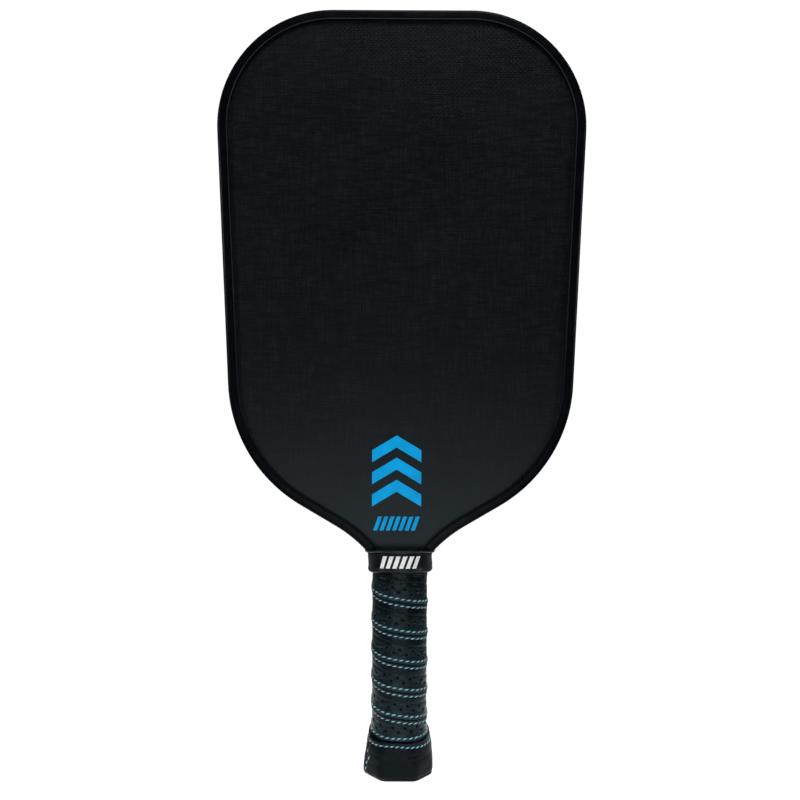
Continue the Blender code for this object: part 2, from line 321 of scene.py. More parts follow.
@dataclass(frozen=True)
class CarbonFinish(Finish):
    """Matt carbon cloth with the print of its peel ply: fine crossed threads, streaks and specks."""

    warm: Colour = (0.0030, 0.0024, 0.0024)
    warm_height: float = 0.275
    # painted light: near the throat the face is lightened towards this colour
    handled: Colour = (0.0190, 0.0260, 0.0290)
    thread: float = 1.3 * MM
    depth: float = 0.05 * MM

    def work(self, bench: Bench) -> None:
        """Cross two sets of threads in a chequer, and add streaks, specks and worn patches; paint light on
        the face towards the throat and paint shade just above the collar.

        Args:
            bench: where the material is made.
        """
        across = bench.maths("DIVIDE", bench.axis("X"), self.thread)
        along = bench.maths("DIVIDE", bench.axis("Z"), self.thread)
        rounds = []
        for coordinate in (across, along):
            part = bench.maths("PINGPONG", coordinate, 0.5)
            rounds.append(bench.maths("SINE", bench.maths("MULTIPLY", part, math.pi)))
        cells = bench.maths("ADD", bench.maths("FLOOR", across), bench.maths("FLOOR", along))
        over = bench.maths("PINGPONG", cells, 1.0)
        weft = bench.maths("MULTIPLY", over, rounds[1])
        warp = bench.maths("MULTIPLY", bench.maths("SUBTRACT", 1.0, over), rounds[0])
        cloth = bench.maths("ADD", weft, warp)
        streaks = bench.noise(0.7 * MM, 3.0, bench.stretched(1.0, 1.0, 0.06))
        bars = bench.noise(0.7 * MM, 2.0, bench.stretched(0.08, 1.0, 1.0))
        patches = bench.noise(38 * MM, 3.0)
        specks = bench.spread(bench.noise(0.55 * MM, 0.0), 0.70, 0.80, 0.0, 1.0)
        from_middle = bench.maths("ABSOLUTE", bench.maths("SUBTRACT", bench.axis("Z"), self.warm_height))
        blotches = bench.maths("ADD", bench.spread(from_middle, 0.0, 0.13, -0.25, 0.25), patches)
        ground = bench.mix(bench.spread(blotches, 0.35, 0.68, 0.0, 1.0), self.warm, self.colour)
        threads = bench.mix(bench.spread(streaks, 0.46, 0.64, 0.0, 0.8), ground, tinted(self.colour, 5.0))
        crossed = bench.mix(bench.spread(bars, 0.40, 0.60, 0.9, 0.0), threads, tinted(self.colour, 0.1))
        woven = bench.mix(bench.maths("MULTIPLY", cloth, 0.35), crossed, tinted(self.colour, 3.6))
        # painted light: the face grows lighter towards the throat
        handled = bench.spread(bench.axis("Z"), 0.235, 0.125, 0.0, 1.0)
        # painted shade: the face is darkened in a thin strip just above the collar
        smudged = bench.spread(bench.axis("Z"), 0.1225, 0.1185, 0.0, 0.9)
        rubbed = bench.mix(bench.maths("POWER", handled, 2.0), woven, self.handled)
        paler = bench.mix(smudged, rubbed, tinted(self.colour, 0.2))
        bench.set(Base_Color=bench.mix(bench.maths("MULTIPLY", specks, 0.5), paler, tinted(self.colour, 8.0)))
        bench.set(Specular_Tint=(0.88, 0.92, 1.0, 1.0))
        worn = bench.spread(patches, 0.3, 0.75, self.roughness + 0.06, self.roughness - 0.07)
        bench.set(Roughness=bench.maths("ADD", worn, bench.spread(bars, 0.3, 0.7, -0.05, 0.05)))
        layers = ((streaks, 0.8), (bars, 0.5), (cloth, 1.0), (specks, 0.6))
        bench.relief(*((height, self.depth * share) for height, share in layers))


@dataclass(frozen=True)
class MouldedFinish(Finish):
    """Moulded plastic or rubber: fine grain, faint mottling, scuffs and painted highlights on marked ridges.
    """

    grain: float = 0.35 * MM
    depth: float = 0.03 * MM
    scuff: float = 2.5
    coat: float = 0.0
    # colour of the painted highlight laid on marked ridges, such as the guard's bead
    edge: Colour = (0.035, 0.038, 0.042)

    def work(self, bench: Bench) -> None:
        """Grain the surface, mottle its colour, lighten its scuffs and paint a highlight on marked ridges.

        Args:
            bench: where the material is made.
        """
        mottle = bench.noise(9 * MM, 4.0)
        grain = bench.noise(self.grain, 3.0)
        scratches = bench.noise(1.6 * MM, 5.0, bench.stretched(0.25, 1.0, 1.0))
        scratched = bench.spread(scratches, 0.60, 0.74, 0.0, 1.0)
        scuffs = bench.maths("MULTIPLY", scratched, bench.spread(mottle, 0.45, 0.65, 0.0, 0.8))
        ground = self.shaded(bench, mottle, (0.3, 0.7), (0.82, 1.22))
        rubbed = bench.mix(scuffs, ground, tinted(self.colour, self.scuff))
        # painted highlight: marked ridges are lightened towards the edge colour
        bench.set(Base_Color=bench.mix(bench.mark("ridge"), rubbed, self.edge))
        rough = bench.spread(mottle, 0.3, 0.7, self.roughness - 0.05, self.roughness + 0.06)
        bench.set(Roughness=bench.maths("ADD", rough, bench.maths("MULTIPLY", scuffs, 0.18)))
        bench.set(Coat_Weight=self.coat, Specular_Tint=(0.80, 0.93, 1.0, 1.0))
        bench.relief((mottle, self.depth * 4), (grain, self.depth), (scratches, self.depth * 0.7))


@dataclass(frozen=True)
class LeatherFinish(Finish):
    """Soft coated leather: pebbled grain, pores, worn ridges with painted highlight, painted shade in holes
    and creases.
    """

    grain: float = 0.75 * MM
    depth: float = 0.07 * MM

    def work(self, bench: Bench) -> None:
        """Pebble the surface, lighten its worn ridges with painted highlight, and paint shade in the holes,
        creases and shade zones.

        Args:
            bench: where the material is made.
        """
        pebbles = bench.pebbles(self.grain)
        fine = bench.noise(0.28 * MM, 2.0)
        creases = bench.noise(2.4 * MM, 4.0)
        folds = bench.noise(2.2 * MM, 2.0, bench.stretched(0.22, 0.22, 1.0))
        patches = bench.noise(14 * MM, 3.0)
        ground = self.shaded(bench, patches, (0.32, 0.68), (0.9, 1.6))
        dips = bench.mix(bench.spread(pebbles, 0.25, 0.65, 0.0, 0.6), tinted(self.colour, 0.45), ground)
        # marked ridges lighter: partly wear, partly painted highlight
        rubbed = bench.mix(bench.maths("MULTIPLY", bench.mark("ridge"), 0.55), dips, tinted(self.colour, 2.2))
        # painted shade: where the pale mark is low, as below each seam of the grip, the colour drops to a
        # shaded copy
        lit = bench.mix(bench.mark("pale"), tinted(self.colour, 0.22), rubbed)
        # painted shade: holes and creases darkened almost to black
        sunk = bench.spread(bench.mark("pit"), 0.40, 0.72, 0.0, 1.0)
        bench.set(Base_Color=bench.mix(sunk, lit, tinted(self.colour, 0.02)))
        base = bench.spread(creases, 0.3, 0.72, self.roughness - 0.08, self.roughness + 0.10)
        bench.set(Roughness=bench.maths("ADD", base, bench.maths("MULTIPLY", bench.mark("pit"), 0.45)))
        bench.set(Specular_Tint=(0.70, 0.92, 1.0, 1.0))
        layers = ((folds, 4.0), (creases, 2.4), (pebbles, 1.0), (fine, 0.4))
        bench.relief(*((height, self.depth * share) for height, share in layers))


@dataclass(frozen=True)
class ThreadFinish(Finish):
    """Twisted polyester thread dyed deep teal, with a painted highlight on each stitch's crown and painted
    shade between plies.
    """

    twist: float = 0.5 * MM
    # colour of the painted highlight on the crown of each stitch
    crown: Colour = (0.32, 0.64, 0.72)

    def work(self, bench: Bench) -> None:
        """Cross fine diagonal plies over a slightly uneven dye, with painted shade between plies and a
        painted highlight on each crown.

        Args:
            bench: where the material is made.
        """
        slant = bench.maths("ADD", bench.axis("X"), bench.maths("MULTIPLY", bench.axis("Z"), 1.7))
        plies = bench.maths("PINGPONG", bench.maths("DIVIDE", slant, self.twist), 0.5)
        dye = bench.noise(5 * MM, 3.0)
        dyed = self.shaded(bench, dye, (0.3, 0.7), (0.6, 1.5))
        # painted highlight on the crown of each stitch
        lit = bench.mix(bench.spread(bench.mark("crown"), 0.55, 0.95, 0.0, 1.0), dyed, self.crown)
        # painted shade in the grooves between the plies
        between = bench.spread(plies, 0.0, 0.2, 0.45, 0.0)
        bench.set(Base_Color=bench.mix(between, lit, tinted(self.colour, 0.5)))
        bench.set(Sheen_Weight=0.3, Sheen_Roughness=0.5)
        bench.relief((plies, 0.12 * MM))


@dataclass(frozen=True)
class InkFinish(Finish):
    """Printed ink that lets the cloth under it show through, thin in small spots."""

    cloth: float = 1.3 * MM

    def work(self, bench: Bench) -> None:
        """Let the threads under the ink show in its colour and in its surface.

        Args:
            bench: where the material is made.
        """
        weave = bench.noise(self.cloth * 0.6, 2.0, bench.stretched(1.0, 1.0, 0.3))
        cover = bench.noise(6 * MM, 4.0)
        pinholes = bench.spread(bench.noise(0.5 * MM, 1.0), 0.68, 0.76, 0.0, 0.55)
        tone = self.shaded(bench, cover, (0.3, 0.7), (0.86, 1.08))
        bench.set(Base_Color=bench.mix(pinholes, tone, tinted(self.colour, 0.45)))
        bench.set(Roughness=bench.spread(weave, 0.3, 0.7, self.roughness - 0.06, self.roughness + 0.1))
        bench.relief((weave, 0.05 * MM), (cover, 0.1 * MM))


@dataclass(frozen=True)
class CellFinish(Finish):
    """Milky honeycomb polymer or closed-cell foam, inside the panel."""

    cell: float = 1.2 * MM

    def work(self, bench: Bench) -> None:
        """Show small cells in the colour and the surface.

        Args:
            bench: where the material is made.
        """
        cells = bench.pebbles(self.cell)
        cloud = bench.noise(11 * MM, 3.0)
        ground = bench.mix(cloud, tinted(self.colour, 0.8), tinted(self.colour, 1.15))
        walls = bench.spread(cells, 0.2, 0.8, 0.0, 0.5)
        bench.set(Base_Color=bench.mix(walls, ground, tinted(self.colour, 0.6)))
        bench.set(Roughness=bench.spread(cloud, 0.3, 0.7, self.roughness - 0.08, self.roughness + 0.08))
        bench.relief((cells, 0.12 * MM), (cloud, 0.1 * MM))


POLYMER = CellFinish("honeycomb polymer", Slot.POLYMER, (0.62, 0.63, 0.62), 0.55, 0.5, cell=2.4 * MM)
FOAM = CellFinish("edge foam", Slot.FOAM, (0.30, 0.31, 0.32), 0.85, 0.3, cell=0.7 * MM)
CARBON = CarbonFinish("carbon face", Slot.CARBON, (0.0016, 0.0026, 0.0038), 0.46, 0.11)
GUARD = MouldedFinish(
    "guard polymer", Slot.GUARD, (0.0012, 0.0016, 0.0026), 0.34, 0.070,
    grain=0.5 * MM, depth=0.05 * MM, scuff=4.0,
)
SHELL = MouldedFinish("handle shell", Slot.SHELL, (0.008, 0.009, 0.010), 0.6, 0.2)
CAP = MouldedFinish(
    "cap plastic", Slot.CAP, (0.0035, 0.0045, 0.0055), 0.32, 0.3,
    grain=0.4 * MM, depth=0.03 * MM, scuff=5.0,
)
LEATHER = LeatherFinish("grip leather", Slot.LEATHER, (0.0072, 0.0145, 0.0170), 0.29, 0.13)
BAND = LeatherFinish("band leather", Slot.LEATHER, (0.0036, 0.0062, 0.0080), 0.36, 0.10)
VINYL = MouldedFinish(
    "finishing vinyl", Slot.VINYL, (0.0045, 0.0060, 0.0070), 0.25, 0.4,
    grain=1.4 * MM, depth=0.02 * MM, scuff=2.0, coat=0.3,
)
RUBBER = MouldedFinish(
    "collar rubber", Slot.RUBBER, (0.0030, 0.0070, 0.0095), 0.38, 0.28,
    grain=0.3 * MM, depth=0.03 * MM, scuff=3.5,
)
THREAD = ThreadFinish("stitch thread", Slot.THREAD, (0.012, 0.130, 0.180), 0.32, 0.7)
BLUE = InkFinish("blue ink", Slot.BLUE, (0.0010, 0.40, 0.86), 0.42, 0.06)
PALE = InkFinish("pale ink", Slot.PALE, (0.92, 0.94, 0.94), 0.42, 0.3, cloth=0.6 * MM)


# --- shared forms --------------------------------------------------------------------------------------


def extent(node: str) -> tuple[Vector, Vector]:
    """Lowest and highest corner of a node of the frame."""
    low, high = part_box(node)
    return Vector(low), Vector(high)


def handle_size() -> Point2:
    """Half width and half depth of the bare handle."""
    low, high = extent("handle_pallet_front")
    return high.x, -low.y


def bell(distance: np.ndarray, width: float) -> np.ndarray:
    """A smooth bump of height one and the given half width."""
    return np.exp(-(distance**2) / (2 * width**2))


def ease(value: np.ndarray, start: float, end: float) -> np.ndarray:
    """A smooth rise from 0 at start to 1 at end."""
    share = np.clip((value - start) / (end - start), 0.0, 1.0)
    return share * share * (3 - 2 * share)


def ripple(a: np.ndarray, b: np.ndarray, seed: int, waves: int = 9) -> np.ndarray:
    """Uneven low waves over a flat area.

    Args:
        a: first coordinate, in wavelengths of the longest wave.
        b: second coordinate, in the same units.
        seed: which set of waves.
        waves: how many are added up.

    Returns:
        Heights between about -1 and 1.
    """
    dice = np.random.default_rng(seed)
    total = np.zeros(np.broadcast(a, b).shape)
    for _ in range(waves):
        turn, phase = dice.uniform(0, 2 * math.pi, 2)
        rate = dice.uniform(1.0, 3.5)
        total += np.sin(2 * math.pi * rate * (a * math.cos(turn) + b * math.sin(turn)) + phase) / rate
    return total / math.sqrt(waves)


def grid_mesh(name: str, rings: np.ndarray, close_rows: bool = False, sharp: float = 40.0) -> bpy.types.Mesh:
    """A closed skin over rings of points.

    Args:
        name: the mesh's name.
        rings: points in (row, point, xyz); each row is a closed ring.
        close_rows: whether the last row meets the first; if not, both ends are capped.
        sharp: edges steeper than this many degrees stay sharp.

    Returns:
        The mesh, its faces pointing out.
    """
    rows, count, _ = rings.shape
    index = np.arange(rows * count).reshape(rows, count)
    low = index if close_rows else index[:-1]
    high = np.roll(index, -1, axis=0) if close_rows else index[1:]
    faces = np.stack([low, np.roll(low, -1, axis=1), np.roll(high, -1, axis=1), high], axis=-1)
    polygons = faces.reshape(-1, 4).tolist()
    if not close_rows:
        polygons += [index[0].tolist(), index[-1].tolist()]
    return finished_mesh(name, rings.reshape(-1, 3), polygons, sharp)


def finished_mesh(name: str, points: np.ndarray, polygons: Faces, sharp: float) -> bpy.types.Mesh:
    """A smooth mesh of points and polygons, facing out, with its steep edges sharp.

    Args:
        name: the mesh's name.
        points: its points, as xyz rows.
        polygons: its faces, as indices of points.
        sharp: edges steeper than this many degrees stay sharp.

    Returns:
        The mesh.
    """
    mesh = bpy.data.meshes.new(name)
    mesh.from_pydata(points.tolist(), [], polygons)
    bm = bmesh.new()
    bm.from_mesh(mesh)
    bmesh.ops.recalc_face_normals(bm, faces=bm.faces)
    bm.to_mesh(mesh)
    bm.free()
    mesh.shade_smooth()
    mesh.set_sharp_from_angle(angle=math.radians(sharp))
    return mesh


def add_piece(mesh: bpy.types.Mesh, finish: Finish, body: Body, *nodes: str) -> bpy.types.Object:
    """Put a mesh in the scene as one piece of the paddle.

    Args:
        mesh: its form; the piece takes the mesh's name.
        finish: its material.
        body: the body it moves with.
        nodes: CAD nodes that it stands for.

    Returns:
        The new object.
    """
    made = bpy.data.objects.new(mesh.name, mesh)
    mesh.materials.append(MATERIALS.of(finish))
    bpy.context.scene.collection.objects.link(made)
    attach(made, body.value)
    if nodes:
        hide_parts(*nodes)
    LOG.info("%s: %d faces on %s", made.name, len(mesh.polygons), body.value)
    return made


class MaterialShelf:
    """Materials made so far, one for each finish."""

    def __init__(self) -> None:
        """Start with none."""
        self.made: dict[Finish, bpy.types.Material] = {}

    def of(self, finish: Finish) -> bpy.types.Material:
        """The material of a finish, made when it is first asked for.

        Args:
            finish: the finish asked for.

        Returns:
            The one material that every piece of this finish shares.
        """
        if finish not in self.made:
            self.made[finish] = finish.make()
        return self.made[finish]


MATERIALS = MaterialShelf()


def normal(angle: float) -> Point2:
    """Outward normal in (x, z) for an angle measured downwards from +X."""
    return math.cos(angle), -math.sin(angle)


@dataclass
class HeadOutline:
    """Outline of the head in (x, z), drawn from arcs like the frame's own."""

    width: float
    length: float
    neck_height: float
    corner_radius: float = 61.7 * MM
    side_taper: float = math.radians(2.7)
    shoulder_radius: float = 79.0 * MM
    shoulder_angle: float = math.radians(59.6)
    throat_radius: float = 74.0 * MM
    neck_width: float = 37.4 * MM
    neck_angle: float = math.radians(44.0)
    steps: tuple[int, int, int] = (44, 26, 14)

    def centres(self) -> tuple[Point2, Point2, Point2]:
        """Centres of the corner, shoulder and throat arcs.

        Returns:
            Three centres in (x, z), on the right-hand side.
        """
        cx, cz = self.width / 2 - self.corner_radius, self.length - self.corner_radius
        nx, nz = normal(self.neck_angle)
        tx, tz = self.neck_width / 2 + self.throat_radius * nx, self.neck_height + self.throat_radius * nz
        side, slope = normal(self.side_taper), normal(self.shoulder_angle)
        side_reach = cx * side[0] + cz * side[1] + self.corner_radius - self.shoulder_radius
        slope_reach = tx * slope[0] + tz * slope[1] - self.throat_radius - self.shoulder_radius
        scale = side[0] * slope[1] - side[1] * slope[0]
        x = (side_reach * slope[1] - slope_reach * side[1]) / scale
        z = (slope_reach * side[0] - side_reach * slope[0]) / scale
        return (cx, cz), (x, z), (tx, tz)

    def path(self, inset: float) -> np.ndarray:
        """Points from the left of the neck, over the top, to the right of the neck.

        Args:
            inset: how far inside the outline the path runs.

        Returns:
            Points as (x, z) rows.
        """
        corner, shoulder, throat = self.centres()
        hollow = self.throat_radius + inset
        stop = math.asin((self.neck_height - throat[1]) / hollow)
        half = [(0.0, self.length - inset)]
        arcs = (
            (corner, self.corner_radius - inset, -math.pi / 2, self.side_taper),
            (shoulder, self.shoulder_radius - inset, self.side_taper, self.shoulder_angle),
            (throat, -hollow, self.shoulder_angle, stop),
        )
        for arc, steps in zip(arcs, self.steps):
            half += self.arc(*arc, steps)
        return np.array([(-x, z) for x, z in half[:0:-1]] + half)

    @staticmethod
    def arc(centre: Point2, radius: float, start: float, end: float, steps: int) -> Outline:
        """Points of an arc between two normal angles."""
        turns = [normal(start + (end - start) * step / steps) for step in range(steps + 1)]
        return [(centre[0] + radius * nx, centre[1] + radius * nz) for nx, nz in turns]


@dataclass
class HandleSection:
    """Eight-sided section of the handle with soft corners, reached by turn."""

    roundness: float = 0.30
    flat_share: float = 0.5
    steps: int = 10
    turns: np.ndarray = field(init=False)
    outline: np.ndarray = field(init=False)

    def __post_init__(self) -> None:
        """Draw a section of half width one, and measure it."""
        flat, points = self.flat_share, []
        corners = [(-flat, -1), (-1, -flat), (-1, flat), (-flat, 1)]
        corners += [(-x, -y) for x, y in corners]
        for i, corner in enumerate(corners):
            here = np.array(corner, float)
            before = np.array(corners[i - 1], float) - here
            after = np.array(corners[(i + 1) % 8], float) - here
            arms = (before, after)
            start, end = (here + arm / np.linalg.norm(arm) * self.roundness for arm in arms)
            for share in np.linspace(0, 1, self.steps):
                points.append((1 - share) ** 2 * start + 2 * share * (1 - share) * here + share**2 * end)
        ring = np.array([(0.0, -1.0)] + points + [(0.0, -1.0)])
        reach = np.concatenate([[0.0], np.cumsum(np.linalg.norm(np.diff(ring, axis=0), axis=1))])
        self.turns, self.outline = reach / reach[-1], ring

    def at(self, turn: np.ndarray, half_width: np.ndarray, half_depth: np.ndarray) -> Arrays:
        """Points of a section of the given size, at some turns.

        Args:
            turn: turns round the handle.
            half_width: half width of the section.
            half_depth: half depth of the section.

        Returns:
            The x and the y of each point.
        """
        place = np.mod(turn, 1.0)
        x = np.interp(place, self.turns, self.outline[:, 0]) * half_width
        y = np.interp(place, self.turns, self.outline[:, 1]) * half_depth
        return x, y

    def perimeter(self, half_width: float) -> float:
        """Length round a section."""
        return float(np.sum(np.linalg.norm(np.diff(self.outline, axis=0), axis=1))) * half_width


CRISP_SECTION = HandleSection(roundness=0.14)
SOFT_SECTION = HandleSection(roundness=0.36)
FIRM_SECTION = HandleSection(roundness=0.24)
ROUND_SECTION = HandleSection(roundness=0.42)


@dataclass
class StitchRow:
    """Separate stitches laid on a surface, each a short bowed length of thread."""

    length: float = 2.95 * MM
    half_width: float = 0.42 * MM
    half_height: float = 0.26 * MM
    slant: float = 0.40 * MM
    along: int = 9
    around: int = 8

    def crown(self) -> np.ndarray:
        """How far each point of one stitch is up its crown, from 0 to 1, as the mask of the thread's painted
        highlight.

        Returns:
            One number for each point, in the order of the stitch's points.
        """
        along = 1 - np.abs(np.linspace(-1, 1, self.along)) ** 2.5
        around = np.clip(np.sin(np.linspace(0, 2 * math.pi, self.around, endpoint=False)), 0, 1)
        return np.outer(along, around).ravel()

    def threads(self, surface: Surface, starts: np.ndarray, offsets: np.ndarray, per_turn: float) -> Threads:
        """Points and faces of one row of stitches.

        Args:
            surface: gives points of the surface from turns and offsets.
            starts: turn of the middle of each stitch.
            offsets: where each stitch lies across the surface.
            per_turn: length of one turn along the row.

        Returns:
            Points, and quads and end faces that index them.
        """
        share = np.linspace(-1, 1, self.along)
        turn = starts[:, None] + share[None, :] * self.length / 2 / per_turn
        low = offsets[:, None] - share[None, :] * self.slant
        middle = surface(turn, low)
        step = 0.15 * MM
        forward = surface(turn + step / per_turn, low) - surface(turn - step / per_turn, low)
        sideways = surface(turn, low + step) - surface(turn, low - step)
        forward /= np.linalg.norm(forward, axis=-1, keepdims=True)
        out = np.cross(forward, sideways)
        out /= np.linalg.norm(out, axis=-1, keepdims=True)
        radial = middle * np.array([1.0, 1.0, 0.0])
        out *= np.sign(np.sum(out * radial, axis=-1, keepdims=True))
        side = np.cross(out, forward)
        girth = np.sqrt(np.clip(1 - np.abs(share) ** 3.2, 0.03, 1.0))[None, :, None]
        bow = (self.half_height * (0.9 * (1 - share**2) - 0.35))[None, :, None]
        angles = np.linspace(0, 2 * math.pi, self.around, endpoint=False)
        rings = []
        for angle in angles:
            reach = side * (self.half_width * math.cos(angle)) + out * (self.half_height * math.sin(angle))
            rings.append(middle + out * bow + reach * girth)
        points = np.stack(rings, axis=2)
        faces = []
        for stitch in range(len(starts)):
            base = stitch * self.along * self.around
            for ring in range(self.along - 1):
                here = base + ring * self.around
                over = here + self.around
                for spoke in range(self.around):
                    after = (spoke + 1) % self.around
                    faces.append([here + spoke, here + after, over + after, over + spoke])
            faces.append([base + spoke for spoke in range(self.around)])
            last = base + (self.along - 1) * self.around
            faces.append([last + spoke for spoke in range(self.around)])
        return points.reshape(-1, 3), faces


def joined_rows(name: str, rows: list[Threads]) -> bpy.types.Mesh:
    """One mesh of several rows of stitches.

    Args:
        name: the mesh's name.
        rows: points and faces of each row.

    Returns:
        The mesh, with the crown of each stitch stored on it as the mask of a painted highlight.
    """
    points, faces, count = [], [], 0
    for row_points, row_faces in rows:
        points.append(row_points)
        faces += [[corner + count for corner in face] for face in row_faces]
        count += len(row_points)
    mesh = finished_mesh(name, np.concatenate(points), faces, 60.0)
    crown = StitchRow().crown()
    made = mesh.attributes.new("crown", "FLOAT", "POINT")
    made.data.foreach_set("value", np.tile(crown, count // len(crown)).astype(np.float32))
    return mesh


# --- panel ---------------------------------------------------------------------------------------------


@dataclass
class Panel:
    """The honeycomb panel: its carried-over layers and its edge guard."""

    lip_width: float = 5.7 * MM
    lip_thickness: float = 1.1 * MM
    wall: float = 1.5 * MM
    edge_radius: float = 1.9 * MM
    bead_width: float = 0.7 * MM
    bead_height: float = 0.34 * MM
    bead_drop: float = 0.35 * MM
    groove_width: float = 0.5 * MM
    groove_depth: float = 0.25 * MM

    def dress_layers(self) -> None:
        """Give the layers inside the guard their finishes."""
        layers = {
            "honeycomb_core": POLYMER,
            "perimeter_foam": FOAM,
            "front_face_sheet": CARBON,
            "rear_face_sheet": CARBON,
        }
        for node, finish in layers.items():
            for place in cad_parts[node].material_slots:
                place.material = MATERIALS.of(finish)
            LOG.info("%s: finish %s", node, finish.name)

    def half_section(self, half_thickness: float) -> Outline:
        """Front half of the guard's section, from its outside to under its lip, as (inset, y).

        Args:
            half_thickness: half of the guard's whole thickness.

        Returns:
            The section's points.
        """
        radius = self.edge_radius
        points = []
        for turn in np.linspace(0, math.pi / 2, 10):
            points.append((radius * (1 - math.cos(turn)), -half_thickness + radius * (1 - math.sin(turn))))
        bead_start = self.lip_width - self.bead_width
        groove = bead_start - self.groove_width
        points.append((groove - 0.3 * MM, -half_thickness))
        for share in np.linspace(0, 1, 7):
            dip = math.sin(math.pi * share) * self.groove_depth
            points.append((groove + share * self.groove_width, -half_thickness + dip))
        for turn in np.linspace(0, math.pi, 9)[1:]:
            lift = math.sin(turn) * self.bead_height
            along = (1 - math.cos(turn)) / 2
            sunk = self.bead_drop * along
            points.append((bead_start + self.bead_width * along, -half_thickness - lift + sunk))
        under = half_thickness - self.lip_thickness
        points += [(self.lip_width - 0.1 * MM, -under), (self.wall, -under)]
        return points

    def build_guard(self) -> None:
        """Sweep the guard's section round the head."""
        low, high = extent("edge_guard")
        outline = HeadOutline(high.x - low.x, high.z, low.z)
        front = self.half_section(high.y)
        section = front + [(inset, -y) for inset, y in front[::-1]]
        columns = []
        for inset, y in section:
            path = outline.path(inset)
            columns.append(np.column_stack([path[:, 0], np.full(len(path), y), path[:, 1]]))
        rings = np.stack(columns, axis=1)
        mesh = grid_mesh("edge_guard_shell", rings, sharp=50.0)
        insets, depths = np.abs(np.array(section)).T
        # painted highlight along the crest of the lip's bead, strongest towards the top of the head
        on_bead = (insets > self.lip_width - self.bead_width * 0.85) & (depths > high.y + 0.02 * MM)
        lit = ease(rings[..., 2], 0.28, 0.40) * 0.9 + 0.1
        ridge = mesh.attributes.new("ridge", "FLOAT", "POINT")
        ridge.data.foreach_set("value", (lit * on_bead[None, :]).ravel().astype(np.float32))
        add_piece(mesh, GUARD, Body.PADDLE, "edge_guard")


# --- printed marks -------------------------------------------------------------------------------------


@dataclass
class PrintedMarks:
    """Plain printed marks: stacked chevrons, and rows of slanted bars."""

    middle: float = -1.9 * MM
    emblem_height: float = 161.0 * MM
    emblem_size: Point2 = (26.2 * MM, 37.8 * MM)
    chevrons: int = 3
    row_height: float = 133.0 * MM
    row_size: Point2 = (26.0 * MM, 7.4 * MM)
    bars: int = 7
    ink: float = 0.06 * MM

    def chevron_outlines(self) -> list[Outline]:
        """Outlines of the stacked chevrons, points up, about the emblem's middle.

        Returns:
            One outline for each chevron.
        """
        width, height = self.emblem_size
        rise = width * 0.30
        pitch = (height - rise) / self.chevrons
        stroke = pitch * 0.64
        outlines = []
        for step in range(self.chevrons):
            base = -height / 2 + step * (height - rise - stroke) / (self.chevrons - 1)
            half = width / 2
            lower = [(-half, base), (0.0, base + rise), (half, base)]
            outlines.append(lower + [(x, z + stroke) for x, z in lower[::-1]])
        return outlines

    @staticmethod
    def bar_outlines(size: Point2, bars: int) -> list[Outline]:
        """Outlines of a row of slanted bars about its middle.

        Args:
            size: width and height of the row.
            bars: how many bars.

        Returns:
            One outline for each bar.
        """
        width, height = size
        slant = height * 0.35
        pitch = (width - slant) / bars
        stroke = pitch * 0.62
        outlines = []
        for step in range(bars):
            left = -width / 2 + step * pitch + (pitch - stroke) / 2
            right, low, high = left + stroke, -height / 2, height / 2
            outlines.append([(left, low), (right, low), (right + slant, high), (left + slant, high)])
        return outlines

    def flat_print(self, name: str, plane: float, facing: float, finish: Finish) -> None:
        """Print the emblem and its row on one face.

        Args:
            name: the piece's name.
            plane: y of the face.
            facing: -1 for the front and 1 for the rear.
            finish: the ink.
        """
        points, polygons = [], []
        shapes = [(outline, self.emblem_height) for outline in self.chevron_outlines()]
        shapes += [(outline, self.row_height) for outline in self.bar_outlines(self.row_size, self.bars)]
        for outline, height in shapes:
            base, count = len(points), len(outline)
            for lift in (0.01 * MM, self.ink):
                points += [(self.middle - facing * x, plane + facing * lift, height + z) for x, z in outline]
            polygons.append([base + i for i in range(count)])
            polygons.append([base + count + i for i in range(count)])
            for i in range(count):
                after = (i + 1) % count
                polygons.append([base + i, base + after, base + count + after, base + count + i])
        mesh = finished_mesh(name, np.array(points), polygons, 30.0)
        add_piece(mesh, finish, Body.PADDLE)

    def build(self) -> None:
        """Print the front and the rear face."""
        self.flat_print("front_print", extent("front_face_sheet")[0].y, -1.0, BLUE)
        self.flat_print("rear_print", extent("rear_face_sheet")[1].y, 1.0, BLUE)


# --- handle --------------------------------------------------------------------------------------------


